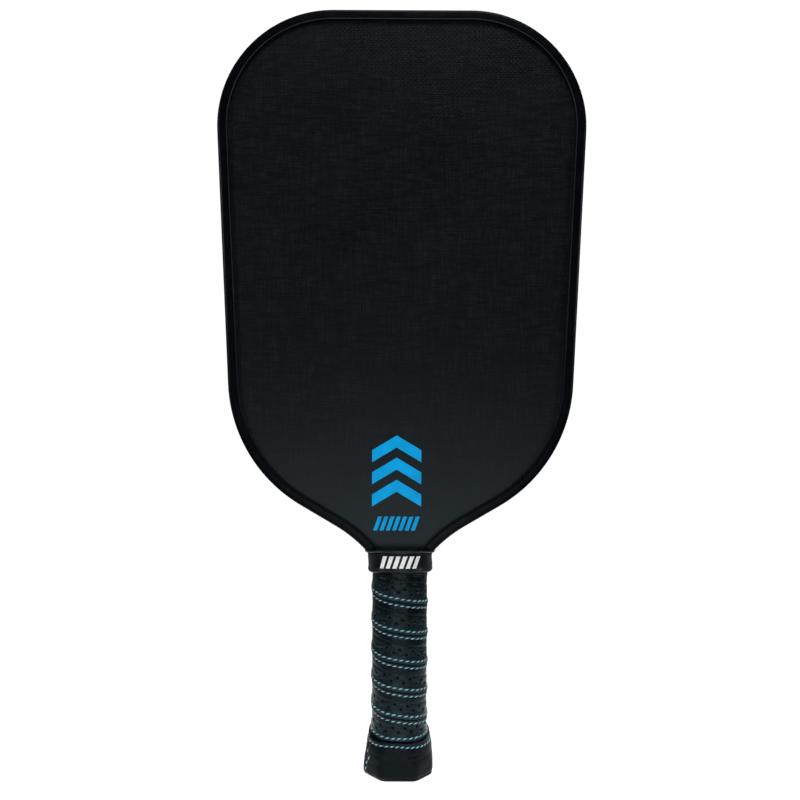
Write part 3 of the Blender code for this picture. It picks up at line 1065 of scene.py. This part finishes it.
@dataclass
class ButtCap:
    """Moulded cup over the end of the handle, and the leather band sewn round it."""

    floor: float = 2.6 * MM
    rim_height: float = 0.9 * MM
    edge: float = 0.4 * MM
    rim_step: float = 0.7 * MM
    seat_step: float = 1.6 * MM
    skirt: float = 1.3 * MM
    recess: float = 0.5 * MM
    band_thickness: float = 1.0 * MM
    hole_places: tuple[Point2, ...] = (
        (0.128, 16.9 * MM),
        (0.075, 15.6 * MM),
        (0.098, 12.4 * MM),
        (0.955, 12.6 * MM),
        (0.900, 14.6 * MM),
    )
    hole_radius: float = 0.45 * MM
    hole_depth: float = 0.7 * MM
    band_start: float = 0.105
    band_lap: float = 0.075
    sewn_end: float = 1.055
    lowest_stitch: float = 4.2 * MM
    lip_height: float = 19.7 * MM
    stitch_pitch: float = 3.05 * MM
    kink: float = 10.3 * MM
    ring_points: int = 160
    columns: int = 330
    rows: int = 44

    def __post_init__(self) -> None:
        """Take the sizes of the cap and the handle from the frame."""
        _, high = extent("butt_cap")
        self.cap_top, self.half_width, self.half_depth = high.z, high.x, high.y
        self.handle_half_width, self.handle_half_depth = handle_size()

    def seat(self, height: np.ndarray) -> Arrays:
        """Half width and half depth of the cap's flare at a height.

        Args:
            height: heights above the end of the butt.

        Returns:
            Half widths and half depths.
        """
        share = np.clip((height - self.rim_height) / (self.cap_top - self.rim_height), 0.0, 1.0)
        spread = 1 - share**4.2
        narrow = (self.handle_half_width + self.skirt, self.handle_half_depth + self.skirt)
        broad = (self.half_width - self.seat_step, self.half_depth - self.seat_step)
        wide, deep = ((1 - spread) * start + spread * end for start, end in zip(narrow, broad))
        return wide, deep

    def ring(self, height: float, wide: float, deep: float, section: HandleSection) -> np.ndarray:
        """One closed ring round the handle's axis.

        Args:
            height: height above the end of the butt.
            wide: half width of the ring.
            deep: half depth of the ring.
            section: how round its corners are.

        Returns:
            Points as xyz rows.
        """
        turn = np.arange(self.ring_points) / self.ring_points
        x, y = section.at(turn, wide, deep)
        return np.column_stack([x, y, np.full(self.ring_points, height)])

    def build_cap(self) -> None:
        """Shell of the cap, with a shallow ringed recess in its end face."""
        wide, deep, edge = self.half_width, self.half_depth, self.edge
        rings = []
        recess, bead = self.recess, self.recess * 0.55
        profile = [(recess, 0.30), (recess, 0.52), (bead, 0.54), (bead, 0.58)]
        profile += [(recess, 0.60), (recess, 0.70), (0.0, 0.73)]
        for height, share in profile:
            rings.append(self.ring(height, wide * share, deep * share, FIRM_SECTION))
        rim_wide, rim_deep = wide - self.rim_step, deep - self.rim_step
        for turn in np.linspace(0, math.pi / 2, 5):
            back, rise = edge * (1 - math.sin(turn)), edge * (1 - math.cos(turn))
            rings.append(self.ring(rise, rim_wide - back, rim_deep - back, CRISP_SECTION))
        rings.append(self.ring(self.rim_height - 0.1 * MM, rim_wide, rim_deep, CRISP_SECTION))
        for height in np.linspace(self.rim_height, self.cap_top, 14):
            seat_wide, seat_deep = self.seat(height)
            rings.append(self.ring(height, float(seat_wide), float(seat_deep), CRISP_SECTION))
        for height in (self.cap_top, self.floor):
            bore = (self.handle_half_width + FIT, self.handle_half_depth + FIT)
            rings.append(self.ring(height, *bore, FIRM_SECTION))
        mesh = grid_mesh("butt_cap_shell", np.stack(rings), sharp=35.0)
        add_piece(mesh, CAP, Body.PADDLE, "butt_cap")

    def band_top(self, turn: np.ndarray) -> np.ndarray:
        """Height of the band's upper edge, a little higher at the left front."""
        slow, quick = np.sin(2 * math.pi * turn), np.sin(6 * math.pi * turn + 1.0)
        return self.lip_height + 0.35 * MM * slow + 0.12 * MM * quick

    def band_surface(self, turn: np.ndarray, height: np.ndarray) -> np.ndarray:
        """Outside of the band at a turn, counted from its hidden end, and a height."""
        return self.band_points(turn, height, 1.0)

    def band_points(self, turn: np.ndarray, height: np.ndarray, share: float) -> np.ndarray:
        """Points of the band, through its thickness.

        Args:
            turn: turns from the front, from band_start on; more than a turn further lies over its own start.
            height: heights above the end of the butt.
            share: 0 on the bore and 1 on the outside.

        Returns:
            Points as xyz rows.
        """
        wide, deep = self.seat(height)
        clear = self.handle_half_width + 2.25 * MM
        floor_wide = np.where(height > self.cap_top - 2.5 * MM, clear, 0.0)
        opened = ease(height, self.cap_top - 2.5 * MM, self.cap_top - 0.3 * MM)
        lift = np.maximum(floor_wide - wide - FIT, 0.0) * opened
        done = turn - self.band_start
        lap = ease(done, 0.93, 0.995) * (self.band_thickness + 0.1 * MM)
        thin = self.band_thickness * (0.35 + 0.65 * ease(done, 0.0, 0.05))
        top_gap = self.band_top(turn) - height
        outside = 0.28 * MM * bell(top_gap - 0.9 * MM, 0.7 * MM)
        outside -= 0.20 * MM * bell(top_gap - self.sew_drop(turn), 0.40 * MM)
        outside -= 0.16 * MM * bell(height - 9.6 * MM - 1.6 * MM * np.sin(2 * math.pi * turn * 1.5), 0.5 * MM)
        outside -= 0.12 * MM * bell(height - 12.0 * MM - 1.1 * MM * np.cos(2 * math.pi * turn), 0.6 * MM)
        outside += 0.10 * MM * ripple(turn * 7, height / (16 * MM), 5)
        outside -= 0.55 * MM * bell(height - self.rim_height - 0.1 * MM, 0.6 * MM)
        outside -= 0.22 * MM * bell(done - self.sewn_end, 0.004)
        outside -= self.hole_depth * self.holes(turn, height)
        grow = FIT + lift + lap + share * (thin + outside)
        crisp_x, crisp_y = CRISP_SECTION.at(turn, wide + grow, deep + grow)
        soft_x, soft_y = SOFT_SECTION.at(turn, wide + grow, deep + grow)
        softness = ease(height, 3.0 * MM, 16.0 * MM)
        x = crisp_x + (soft_x - crisp_x) * softness
        y = crisp_y + (soft_y - crisp_y) * softness
        return np.stack([x, y, height + 0 * x], axis=-1)

    def holes(self, turn: np.ndarray, height: np.ndarray) -> np.ndarray:
        """How deep the band's few holes sink, from 0 to 1.

        Args:
            turn: turns from the front.
            height: heights above the end of the butt.

        Returns:
            The share of the holes' depth at each place.
        """
        total = np.zeros(np.broadcast(turn, height).shape)
        for hole_turn, hole_height in self.hole_places:
            across = (np.mod(turn, 1.0) - hole_turn) * 2 * math.pi * self.half_width
            total += np.exp(-((across**2 + (height - hole_height) ** 2) / self.hole_radius**2))
        return np.clip(total, 0.0, 1.0)

    def sew_drop(self, turn: np.ndarray) -> np.ndarray:
        """Distance of the sewn row below the band's upper edge."""
        return 1.75 * MM + 0.7 * MM * ease(np.cos(2 * math.pi * (turn - 0.8)), 0.0, 1.0)

    def build_band(self) -> None:
        """Leather band: one wrapped strip whose outer end lies over its start on the left."""
        turn = np.linspace(self.band_start, self.band_start + 1 + self.band_lap, self.columns)
        share = np.linspace(0, 1, self.rows)
        bottom = self.rim_height + 0.1 * MM
        turns = np.repeat(turn[:, None], self.rows, axis=1)
        heights = bottom + share[None, :] * (self.band_top(turns) - bottom)
        outer = self.band_points(turns, heights, 1.0)
        inner = self.band_points(turns, heights, 0.0)
        rings = np.concatenate([outer, inner[:, ::-1]], axis=1)
        mesh = grid_mesh("butt_band_leather", rings, sharp=50.0)
        ridge = mesh.attributes.new("ridge", "FLOAT", "POINT")
        top_gap = (self.band_top(turns) - heights) / MM
        edge = np.concatenate([np.exp(-(top_gap**2) / 0.5), 0.6 * np.ones_like(top_gap)], axis=1)
        ridge.data.foreach_set("value", edge.ravel().astype(np.float32))
        # painted shade: the band's holes are marked to be darkened
        pit = mesh.attributes.new("pit", "FLOAT", "POINT")
        sunk = np.concatenate([self.holes(turns, heights), np.zeros_like(heights)], axis=1)
        pit.data.foreach_set("value", sunk.ravel().astype(np.float32))
        # darker over most of the band and on its inside, lighter within a few millimetres of its upper edge
        pale = mesh.attributes.new("pale", "FLOAT", "POINT")
        faded = np.concatenate([0.02 + 0.7 * ease(-top_gap, -4.0, -0.5), np.full_like(heights, 0.3)], axis=1)
        pale.data.foreach_set("value", faded.ravel().astype(np.float32))
        band = add_piece(mesh, BAND, Body.PADDLE, "butt_band")
        self.sew_band()

    def sew_band(self) -> None:
        per_turn = SOFT_SECTION.perimeter(self.half_width)
        count = int(per_turn * (1 + self.band_lap) / self.stitch_pitch) - 1
        starts = self.band_start + 0.03 + np.arange(count) * self.stitch_pitch / per_turn
        heights = self.band_top(starts) - self.sew_drop(starts)
        rows = [StitchRow().threads(self.band_surface, starts, heights, per_turn)]
        for height in np.arange(self.lowest_stitch, self.lip_height - 3.4 * MM, self.stitch_pitch):
            rows.append(self.upright_stitch(self.band_start + self.sewn_end, height))
        sewing = add_piece(joined_rows("butt_band_stitches", rows), THREAD, Body.PADDLE)

    def upright_stitch(self, turn: float, height: float) -> Threads:
        """One stitch of the outer end's upright seam, which bends towards the front half way up.

        Args:
            turn: turn of the seam.
            height: height of the stitch's middle.

        Returns:
            Points and faces of the stitch.
        """
        bend = 0.020 * float(np.exp(-(((height - self.kink) / (2.6 * MM)) ** 2)))
        lean = bend - 0.006 * (height - self.lowest_stitch) / (15 * MM)
        upright = StitchRow(2.6 * MM, 0.42 * MM, 0.3 * MM)
        run_length = 100 * MM

        def turned(run: np.ndarray, across: np.ndarray) -> np.ndarray:
            """The band's outside with its two coordinates exchanged, so a stitch runs upwards."""
            rise = (run - height / run_length) * run_length
            return self.band_surface(turn - lean + across * 10, height + rise)

        return upright.threads(turned, np.array([height / run_length]), np.array([0.0]), run_length)


@dataclass
class GripWrap:
    """Grip tape wound up the handle: ribbed seams, two rows of holes in each turn, and sewn edges."""

    first_seam: float = 18.7 * MM
    pitch: float = 13.0 * MM
    pitch_growth: float = 0.375 * MM
    start_turn: float = -0.92
    overlap: float = 1.2 * MM
    thickness: float = 1.45 * MM
    hole_rows: Point2 = (4.8 * MM, 7.0 * MM)
    hole_spacing: float = 6.9 * MM
    hole_radius: float = 0.42 * MM
    hole_depth: float = 1.2 * MM
    stitch_pitch: float = 3.05 * MM
    lower_row: float = 1.7 * MM
    upper_row: float = 1.85 * MM
    step: float = 0.55 * MM
    columns: int = 38
    under_columns: int = 12

    def __post_init__(self) -> None:
        """Take the wound length and the handle's size from the frame."""
        low, high = extent("grip_tape")
        self.bottom, self.top = low.z, high.z - FIT
        self.tape_bottom = extent("finishing_tape")[0].z
        self.inner_half_width, self.inner_half_depth = (half + FIT for half in handle_size())

    def seam(self, turn: np.ndarray) -> np.ndarray:
        """Height of the wound seam at a turn."""
        return self.first_seam + self.pitch * turn + self.pitch_growth * turn**2

    def lower(self, turn: np.ndarray) -> np.ndarray:
        """Height of the tape's lower edge, level at first and then climbing."""
        over = (self.seam(turn) - self.bottom) / MM
        return self.bottom + (over + np.sqrt(over**2 + 1.0)) / 2 * MM

    def upper(self, turn: np.ndarray) -> np.ndarray:
        """Height of the tape's upper edge, under the next turn or at the top of the grip."""
        return np.minimum(self.lower(turn + 1) + self.overlap, self.top)

    def end_turn(self) -> float:
        """Turn where the tape runs out under the collar.

        Returns:
            The turns, counted from the start of the winding.
        """
        rise = self.top - 1.0 * MM - self.first_seam
        root = math.sqrt(self.pitch**2 + 4 * self.pitch_growth * rise)
        return (root - self.pitch) / (2 * self.pitch_growth)

    def rise(self, turn: np.ndarray, low: np.ndarray) -> np.ndarray:
        """Height of the tape's outside above the handle, for a distance above its lower edge.

        Args:
            turn: turns along the winding.
            low: distances above the tape's lower edge.

        Returns:
            Heights above the handle's surface.
        """
        height = self.lower(turn) + low
        high = self.seam(turn + 1) - height
        crease = height - self.seam(turn) - 0.61 * (self.seam(turn + 1) - self.seam(turn))
        crease += 0.5 * MM * np.sin(turn * 7.3)
        dash = 0.5 + 0.5 * np.cos(2 * math.pi * self.stitch_number(turn))
        total = self.thickness + 0.66 * MM * bell(low - 1.0 * MM, 1.2 * MM)
        total -= (0.20 + 0.16 * dash) * MM * bell(low - self.lower_row, 0.40 * MM)
        total -= 0.20 * MM * bell(crease, 0.42 * MM)
        total += 0.27 * MM * bell(high - 0.9 * MM, 0.8 * MM)
        total -= (0.18 + 0.16 * dash) * MM * bell(high - self.upper_row, 0.40 * MM)
        total -= 0.55 * MM * ease(-high, -0.2 * MM, 1.2 * MM)
        total += 0.06 * MM * ripple(turn * 9, low / (9 * MM), 3)
        total -= 0.20 * MM * ease(-low, -0.35 * MM, 0.0)
        pressed = np.minimum(total, 1.55 * MM + 0.1 * (total - 1.55 * MM))
        return total + (pressed - total) * ease(height, self.tape_bottom - 2.0 * MM, self.tape_bottom)

    def stitch_number(self, turn: np.ndarray) -> np.ndarray:
        """How many stitch pitches lie before a turn."""
        return turn * self.per_turn() / self.stitch_pitch

    def per_turn(self) -> float:
        """Length of one turn on the tape's outside."""
        return SOFT_SECTION.perimeter(self.inner_half_width + self.thickness)

    def on_handle(self, turn: np.ndarray, low: np.ndarray, rise: np.ndarray) -> np.ndarray:
        """Points at a height above the handle's surface."""
        x, y = SOFT_SECTION.at(turn, self.inner_half_width + rise, self.inner_half_depth + rise)
        return np.stack([x, y, self.lower(turn) + low], axis=-1)

    def surface(self, turn: np.ndarray, low: np.ndarray) -> np.ndarray:
        """Outside of the tape."""
        return self.on_handle(turn, low, self.rise(turn, low))

    def underside(self, turn: np.ndarray, low: np.ndarray) -> np.ndarray:
        """Inside of the tape, lifted where it lies over the turn before.

        Args:
            turn: turns along the winding.
            low: distances above the tape's lower edge.

        Returns:
            Points as xyz rows.
        """
        lift = 1.10 * MM - 1.05 * MM * ease(low, 0.2 * MM, 3.0 * MM)
        lift *= ease(turn, 0.02, 0.2)
        return self.on_handle(turn, low, np.minimum(lift, self.rise(turn, low) - 0.15 * MM))

    def build(self) -> None:
        """Wind the tape, prick its holes, mark its ridges and sew its edges."""
        total = self.end_turn() - self.start_turn
        count = int(total * self.per_turn() / self.step)
        turn = np.linspace(self.start_turn, self.end_turn(), count)
        width = self.upper(turn) - self.lower(turn)
        turns = np.repeat(turn[:, None], self.columns, axis=1)
        lows = np.linspace(0, 1, self.columns)[None, :] * width[:, None]
        pits = self.place_holes(turns, lows, width)
        rise = self.rise(turns, lows) - pits * self.hole_depth
        outer = self.on_handle(turns, lows, rise)
        under_share = np.linspace(1, 0, self.under_columns)
        under_turns = np.repeat(turn[:, None], self.under_columns, axis=1)
        under = self.underside(under_turns, under_share[None, :] * width[:, None])
        mesh = grid_mesh("grip_tape_wrap", np.concatenate([outer, under], axis=1), sharp=55.0)
        highs = self.seam(turns + 1) - self.lower(turns) - lows
        # painted shade: the holes, the tape's lower edge and the line under the next turn's edge are marked
        # to be darkened
        creases = np.maximum(bell(lows, 0.30 * MM), bell(highs, 0.45 * MM))
        self.paint(mesh, "pit", np.maximum(np.minimum(pits * 3.6, 1.0), creases))
        # lighter along the tape's lower edge: partly wear, partly painted highlight
        self.paint(mesh, "ridge", bell(lows - 0.5 * MM, 0.9 * MM))
        # painted shade: darker in the zone just below each seam
        self.paint(mesh, "pale", 0.15 + 0.85 * ease(-lows, -9.6 * MM, -7.8 * MM))
        wrap = add_piece(mesh, LEATHER, Body.PADDLE, "grip_tape")
        sewing = self.sew()
        length = float(np.sum(np.linalg.norm(np.diff(self.surface(turn, width / 2), axis=0), axis=1)))

    def paint(self, mesh: bpy.types.Mesh, name: str, values: np.ndarray) -> None:
        """Store a number on the outside's points, and zero on the inside's.

        Args:
            mesh: the tape's mesh.
            name: the number's name in the leather finish.
            values: a number for each of the outside's points.
        """
        rows = np.concatenate([values, np.zeros((len(values), self.under_columns))], axis=1)
        made = mesh.attributes.new(name, "FLOAT", "POINT")
        made.data.foreach_set("value", rows.ravel().astype(np.float32))

    def place_holes(self, turns: np.ndarray, lows: np.ndarray, width: np.ndarray) -> np.ndarray:
        """Gather the grid round each hole into a small circle.

        Args:
            turns: turn of each grid point, changed in place.
            lows: distance above the lower edge of each grid point, changed in place.
            width: width of the tape at each row of the grid.

        Returns:
            How deep each grid point is sunk, from 0 to 1.
        """
        depth = np.zeros_like(lows)
        per_turn = self.per_turn()
        for row, offset in enumerate(self.hole_rows):
            spacing = self.hole_spacing / per_turn
            first = self.start_turn + 0.5 + row * spacing / 2
            for hole in np.arange(first, self.end_turn() - 0.2, spacing):
                i = int(np.argmin(np.abs(turns[:, 0] - hole)))
                j = int(np.argmin(np.abs(lows[i] - offset)))
                if width[i] < offset + 3 * MM or not 2 < j < self.columns - 3 or not 2 < i < len(turns) - 3:
                    continue
                depth[i, j] = 1.0
                turns[i, j], lows[i, j] = hole, offset
                for di, dj in ((1, 0), (1, 1), (0, 1), (-1, 1), (-1, 0), (-1, -1), (0, -1), (1, -1)):
                    size = math.hypot(di, dj)
                    turns[i + di, j + dj] = hole + self.hole_radius * di / size / per_turn
                    lows[i + di, j + dj] = offset + self.hole_radius * dj / size
                    depth[i + di, j + dj] = 0.55
        return depth

    def sew(self) -> bpy.types.Object:
        """Stitches along both edges of the tape.

        Returns:
            The object of the stitches.
        """
        per_turn = self.per_turn()
        step = self.stitch_pitch / per_turn
        numbers = np.arange(math.ceil(-0.45 / step), int((self.end_turn() - 0.35) / step))
        turn = numbers * step
        highest = self.tape_bottom - 0.9 * MM
        turn = turn[self.lower(turn) + self.lower_row < highest]
        row = StitchRow()
        rows = [row.threads(self.surface, turn, np.full(len(turn), self.lower_row), per_turn)]
        first = np.arange(math.ceil(-0.75 / step), int((self.end_turn() - 1.3) / step)) * step
        upper = self.seam(first + 1) - self.upper_row - self.lower(first)
        keep = (upper > self.lower_row + 3 * MM) & (self.lower(first) + upper < highest)
        rows.append(row.threads(self.surface, first[keep], upper[keep], per_turn))
        return add_piece(joined_rows("grip_tape_stitches", rows), THREAD, Body.PADDLE)


@dataclass
class Collar:
    """Rubber collar that slides over the wound tapes, with a plain printed row on its front."""

    wall_low: float = 1.0 * MM
    wall_high: float = 1.6 * MM
    bead_height: float = 1.4 * MM
    bow: float = 1.9 * MM
    print_size: Point2 = (23.5 * MM, 6.4 * MM)
    bars: int = 6
    bar_grid: int = 6
    ink: float = 0.07 * MM

    def __post_init__(self) -> None:
        """Take the collar's size from the frame."""
        low, high = extent("grip_collar")
        self.bottom, self.top = low.z, high.z
        self.half_width, self.half_depth = high.x, high.y
        self.bore = self.half_width - 2.7 * MM

    def profile(self) -> Outline:
        """Outside of the collar as (height, growth over the bore), from bottom to top.

        Returns:
            The profile's points.
        """
        lower_rim = ((0.0, 0.7), (0.15, 1.05), (0.5, 1.28), (1.1, 1.30), (1.7, 1.05))
        points = [(self.bottom + height * MM, growth * MM) for height, growth in lower_rim]
        body_top = self.top - self.bead_height
        for share in np.linspace(0.2, 0.86, 7):
            height = self.bottom + 1.7 * MM + share * (body_top - self.bottom - 1.7 * MM)
            points.append((height, self.wall_low + share * (self.wall_high - self.wall_low)))
        points += [(body_top - 0.84 * MM, self.wall_high), (body_top - 0.78 * MM, 0.55 * MM)]
        points.append((body_top + 0.02 * MM, 0.50 * MM))
        radius = self.bead_height / 2
        for turn in np.linspace(-math.pi / 2, math.pi / 2, 11)[1:]:
            reach = 2.2 * MM + 0.95 * MM * math.cos(turn)
            points.append((self.top - radius + radius * math.sin(turn), reach))
        return points

    def outside(self, turn: np.ndarray, height: np.ndarray) -> np.ndarray:
        """Points of the outside at turns and heights.

        Args:
            turn: turns from the front.
            height: heights in the frame, before the collar's bow.

        Returns:
            Points as xyz rows.
        """
        heights, reaches = np.array(self.profile()).T
        reach = np.interp(height, heights, reaches)
        bulge = bell(np.mod(turn, 1.0) - 0.75, 0.05) * bell(height - self.bottom - 2.6 * MM, 2.0 * MM)
        reach = reach + 0.7 * MM * bulge
        deep = self.bore - (self.half_width - self.half_depth)
        x, y = ROUND_SECTION.at(turn, self.bore + reach, deep + reach)
        return np.stack([x, y, height + self.bow * ease(np.abs(y) / self.half_depth, 0.35, 1.0)], axis=-1)

    def build(self) -> None:
        """Rubber ring and its printed row."""
        count = 240
        turn = np.arange(count) / count
        sag = 0.22 * MM * ripple(turn * 2.2, np.zeros(count), 8)
        rings = []
        for height, _ in self.profile():
            ring = self.outside(turn, np.full(count, height))
            share = 1 - (height - self.bottom) / (self.top - self.bottom)
            ring[:, 2] += sag * share
            rings.append(ring)
        deep = self.bore - (self.half_width - self.half_depth)
        for height in (self.top - 0.2 * MM, self.bottom + 0.3 * MM):
            x, y = FIRM_SECTION.at(turn, self.bore, deep)
            rise = self.bow * ease(np.abs(y) / self.half_depth, 0.35, 1.0)
            rings.append(np.column_stack([x, y, height + rise]))
        mesh = grid_mesh("grip_collar_rubber", np.stack(rings), close_rows=True, sharp=60.0)
        add_piece(mesh, RUBBER, Body.COLLAR, "grip_collar")
        self.print_row()

    def print_row(self) -> None:
        """Slanted bars that follow the collar's curve."""
        middle = (self.bottom + self.top - self.bead_height) / 2 + 0.2 * MM
        per_turn = ROUND_SECTION.perimeter(self.half_width - 1.4 * MM)
        points, polygons = [], []
        steps = np.linspace(0, 1, self.bar_grid)
        for outline in PrintedMarks.bar_outlines(self.print_size, self.bars):
            corners = np.array(outline)
            low = corners[0] + (corners[1] - corners[0]) * steps[:, None]
            high = corners[3] + (corners[2] - corners[3]) * steps[:, None]
            patch = low[None] + (high - low)[None] * steps[:, None, None]
            base = sum(len(group) for group in points)
            placed = self.outside(-patch[..., 0] / per_turn, middle + patch[..., 1])
            out = placed * np.array([1.0, 1.0, 0.0])
            out /= np.linalg.norm(out, axis=-1, keepdims=True)
            for lift in (0.01 * MM, self.ink):
                points.append((placed + out * lift).reshape(-1, 3))
            polygons += self.slab_faces(base, self.bar_grid, self.bar_grid)
        mesh = finished_mesh("collar_print", np.concatenate(points), polygons, 40.0)
        add_piece(mesh, PALE, Body.COLLAR)

    @staticmethod
    def slab_faces(base: int, rows: int, columns: int) -> Faces:
        """Faces of a thin closed slab of two grids of points.

        Args:
            base: index of the slab's first point.
            rows: rows of each grid.
            columns: columns of each grid.

        Returns:
            The faces, as indices of points.
        """
        size, faces = rows * columns, []
        for layer in (0, size):
            for r in range(rows - 1):
                for c in range(columns - 1):
                    corner = base + layer + r * columns + c
                    faces.append([corner, corner + 1, corner + columns + 1, corner + columns])
        rim = list(range(columns)) + [r * columns + columns - 1 for r in range(1, rows)]
        rim += [(rows - 1) * columns + c for c in range(columns - 2, -1, -1)]
        rim += [r * columns for r in range(rows - 2, 0, -1)]
        for here, after in zip(rim, rim[1:] + rim[:1]):
            faces.append([base + here, base + after, base + size + after, base + size + here])
        return faces


@dataclass
class Neck:
    """The handle's shells and the vinyl tape that finishes the grip."""

    wall: float = 0.4 * MM
    grip_growth: float = 2.2 * MM

    def __post_init__(self) -> None:
        """Take the handle's size from the frame."""
        self.handle_half_width, self.handle_half_depth = handle_size()

    def dress_shells(self) -> None:
        """Give the two shells their finish."""
        for node in ("handle_pallet_front", "handle_pallet_rear"):
            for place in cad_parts[node].material_slots:
                place.material = MATERIALS.of(SHELL)
            LOG.info("%s: finish %s", node, SHELL.name)

    def build_tape(self) -> None:
        """Vinyl tape stretched over the grip's end and down onto the shells."""
        low, high = extent("finishing_tape")
        grip_top = extent("grip_tape")[1].z
        count = 200
        turn = np.arange(count) / count
        rings = []
        outside = [(low.z, 0.0), (grip_top, 0.0), (grip_top + 0.7 * MM, 0.05)]
        outside += [(grip_top + 2.3 * MM, 1.0), (high.z, 1.0)]
        heights, drops = np.array(outside).T
        levels = np.linspace(low.z, high.z, 26)
        for side in (1.0, 0.0):
            for height in levels if side else levels[::-1]:
                drop = float(np.interp(height, heights, drops))
                growth = self.grip_growth * (1 - drop) + FIT * drop + side * self.wall
                if not side and height > grip_top:
                    growth = min(growth, self.grip_growth)
                stretch = side * 0.06 * MM * np.sin(turn * 24 * math.pi + height / MM) * (0.4 + drop)
                reach = growth + stretch
                x, y = SOFT_SECTION.at(turn, self.handle_half_width + reach, self.handle_half_depth + reach)
                rings.append(np.column_stack([x, y, np.full(count, height)]))
        mesh = grid_mesh("finishing_tape_vinyl", np.stack(rings), close_rows=True, sharp=45.0)
        add_piece(mesh, VINYL, Body.PADDLE, "finishing_tape")


# --- studio --------------------------------------------------------------------------------------------


@dataclass(frozen=True)
class Lamp:
    """Square soft lamp aimed at a height on the handle's axis."""

    name: str
    place: Point3
    aim: float
    size: float
    power: float

    def hang(self) -> None:
        """Put the lamp in the scene, turned to its aim."""
        light = bpy.data.lights.new(self.name, "AREA")
        light.energy, light.size = self.power, self.size
        made = bpy.data.objects.new(self.name, light)
        made.location = self.place
        made.rotation_mode = "QUATERNION"
        direction = Vector((0.0, 0.0, self.aim)) - Vector(self.place)
        made.rotation_quaternion = direction.to_track_quat("-Z", "Y")
        bpy.context.scene.collection.objects.link(made)


@dataclass
class Studio:
    """Plain white floor, soft lights and the camera."""

    floor_radius: float = 0.16
    floor_glow: float = 0.86
    front_glow: float = 0.006
    rear_glow: float = 0.30
    seen_glow: float = 1.05
    lamps: tuple[Lamp, ...] = (
        Lamp("lamp_top", (0.1, -0.45, 1.15), 0.2, 0.35, 4.5),
        Lamp("lamp_low", (0.0, -0.80, 0.02), 0.14, 0.25, 1.3),
        Lamp("lamp_left", (-0.8, -0.45, 0.45), 0.08, 0.22, 4.0),
        Lamp("lamp_right", (0.85, -0.35, 0.40), 0.08, 0.22, 3.5),
        Lamp("lamp_rear", (0.4, 0.9, 0.8), 0.2, 0.5, 7.0),
    )
    lens: float = 31.45
    eye: Point3 = (-0.0003, -0.3800, 0.1988)
    roll: float = math.radians(-0.26)

    def build_floor(self) -> None:
        """Round white floor that lights the paddle's underside a little."""
        count = 96
        angles = [2 * math.pi * step / count for step in range(count)]
        radius = self.floor_radius
        ring = [(radius * math.cos(angle), radius * math.sin(angle), -0.05 * MM) for angle in angles]
        mesh = bpy.data.meshes.new("studio_floor")
        mesh.from_pydata(ring, [], [list(range(count))])
        floor = bpy.data.objects.new("studio_floor", mesh)
        bench = Bench("studio white", (0.55, 0.55, 0.55), 0.9)
        bench.set(Emission_Color=(1.0, 1.0, 1.0, 1.0), Emission_Strength=self.floor_glow)
        bench.set(Specular_IOR_Level=0.1)
        mesh.materials.append(bench.material)
        bpy.context.scene.collection.objects.link(floor)

    def build_lights(self) -> None:
        """White surround, dim in front so the dark faces stay dark, and soft lamps above and beside."""
        world = bpy.data.worlds.new("studio")
        bpy.context.scene.world = world
        world.use_nodes = True
        tree = world.node_tree
        sky = tree.nodes["Background"]
        sky.inputs["Color"].default_value = (1.0, 1.0, 1.0, 1.0)
        place = tree.nodes.new("ShaderNodeTexCoord")
        parts = tree.nodes.new("ShaderNodeSeparateXYZ")
        shade = tree.nodes.new("ShaderNodeMapRange")
        sight = tree.nodes.new("ShaderNodeLightPath")
        choice = tree.nodes.new("ShaderNodeMix")
        tree.links.new(place.outputs["Generated"], parts.inputs[0])
        tree.links.new(parts.outputs["Y"], shade.inputs["Value"])
        ends = {"From Min": -0.1, "From Max": 0.7, "To Min": self.front_glow, "To Max": self.rear_glow}
        for name, number in ends.items():
            shade.inputs[name].default_value = number
        tree.links.new(sight.outputs["Is Camera Ray"], choice.inputs[0])
        tree.links.new(shade.outputs[0], choice.inputs[2])
        choice.inputs[3].default_value = self.seen_glow
        tree.links.new(choice.outputs[0], sky.inputs["Strength"])
        for lamp in self.lamps:
            lamp.hang()

    def build_camera(self) -> None:
        """Level camera in front of the middle of the paddle."""
        data = bpy.data.cameras.new("camera")
        data.lens, data.sensor_width = self.lens, 36.0
        data.clip_start, data.clip_end = 0.01, 50.0
        camera = bpy.data.objects.new("camera", data)
        camera.location = self.eye
        camera.rotation_euler = (math.pi / 2, self.roll, 0.0)
        bpy.context.scene.collection.objects.link(camera)
        bpy.context.scene.camera = camera
        bpy.context.scene.view_settings.view_transform = "Standard"


def main() -> None:
    """Build the studio, then each part of the paddle."""
    logging.basicConfig(level=logging.INFO, format="%(name)s %(message)s")
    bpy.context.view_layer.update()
    studio = Studio()
    studio.build_camera()
    studio.build_floor()
    studio.build_lights()
    panel = Panel()
    panel.dress_layers()
    panel.build_guard()
    PrintedMarks().build()
    cap = ButtCap()
    cap.build_cap()
    cap.build_band()
    GripWrap().build()
    neck = Neck()
    neck.dress_shells()
    neck.build_tape()
    Collar().build()


if __name__ == "__main__":
    main()
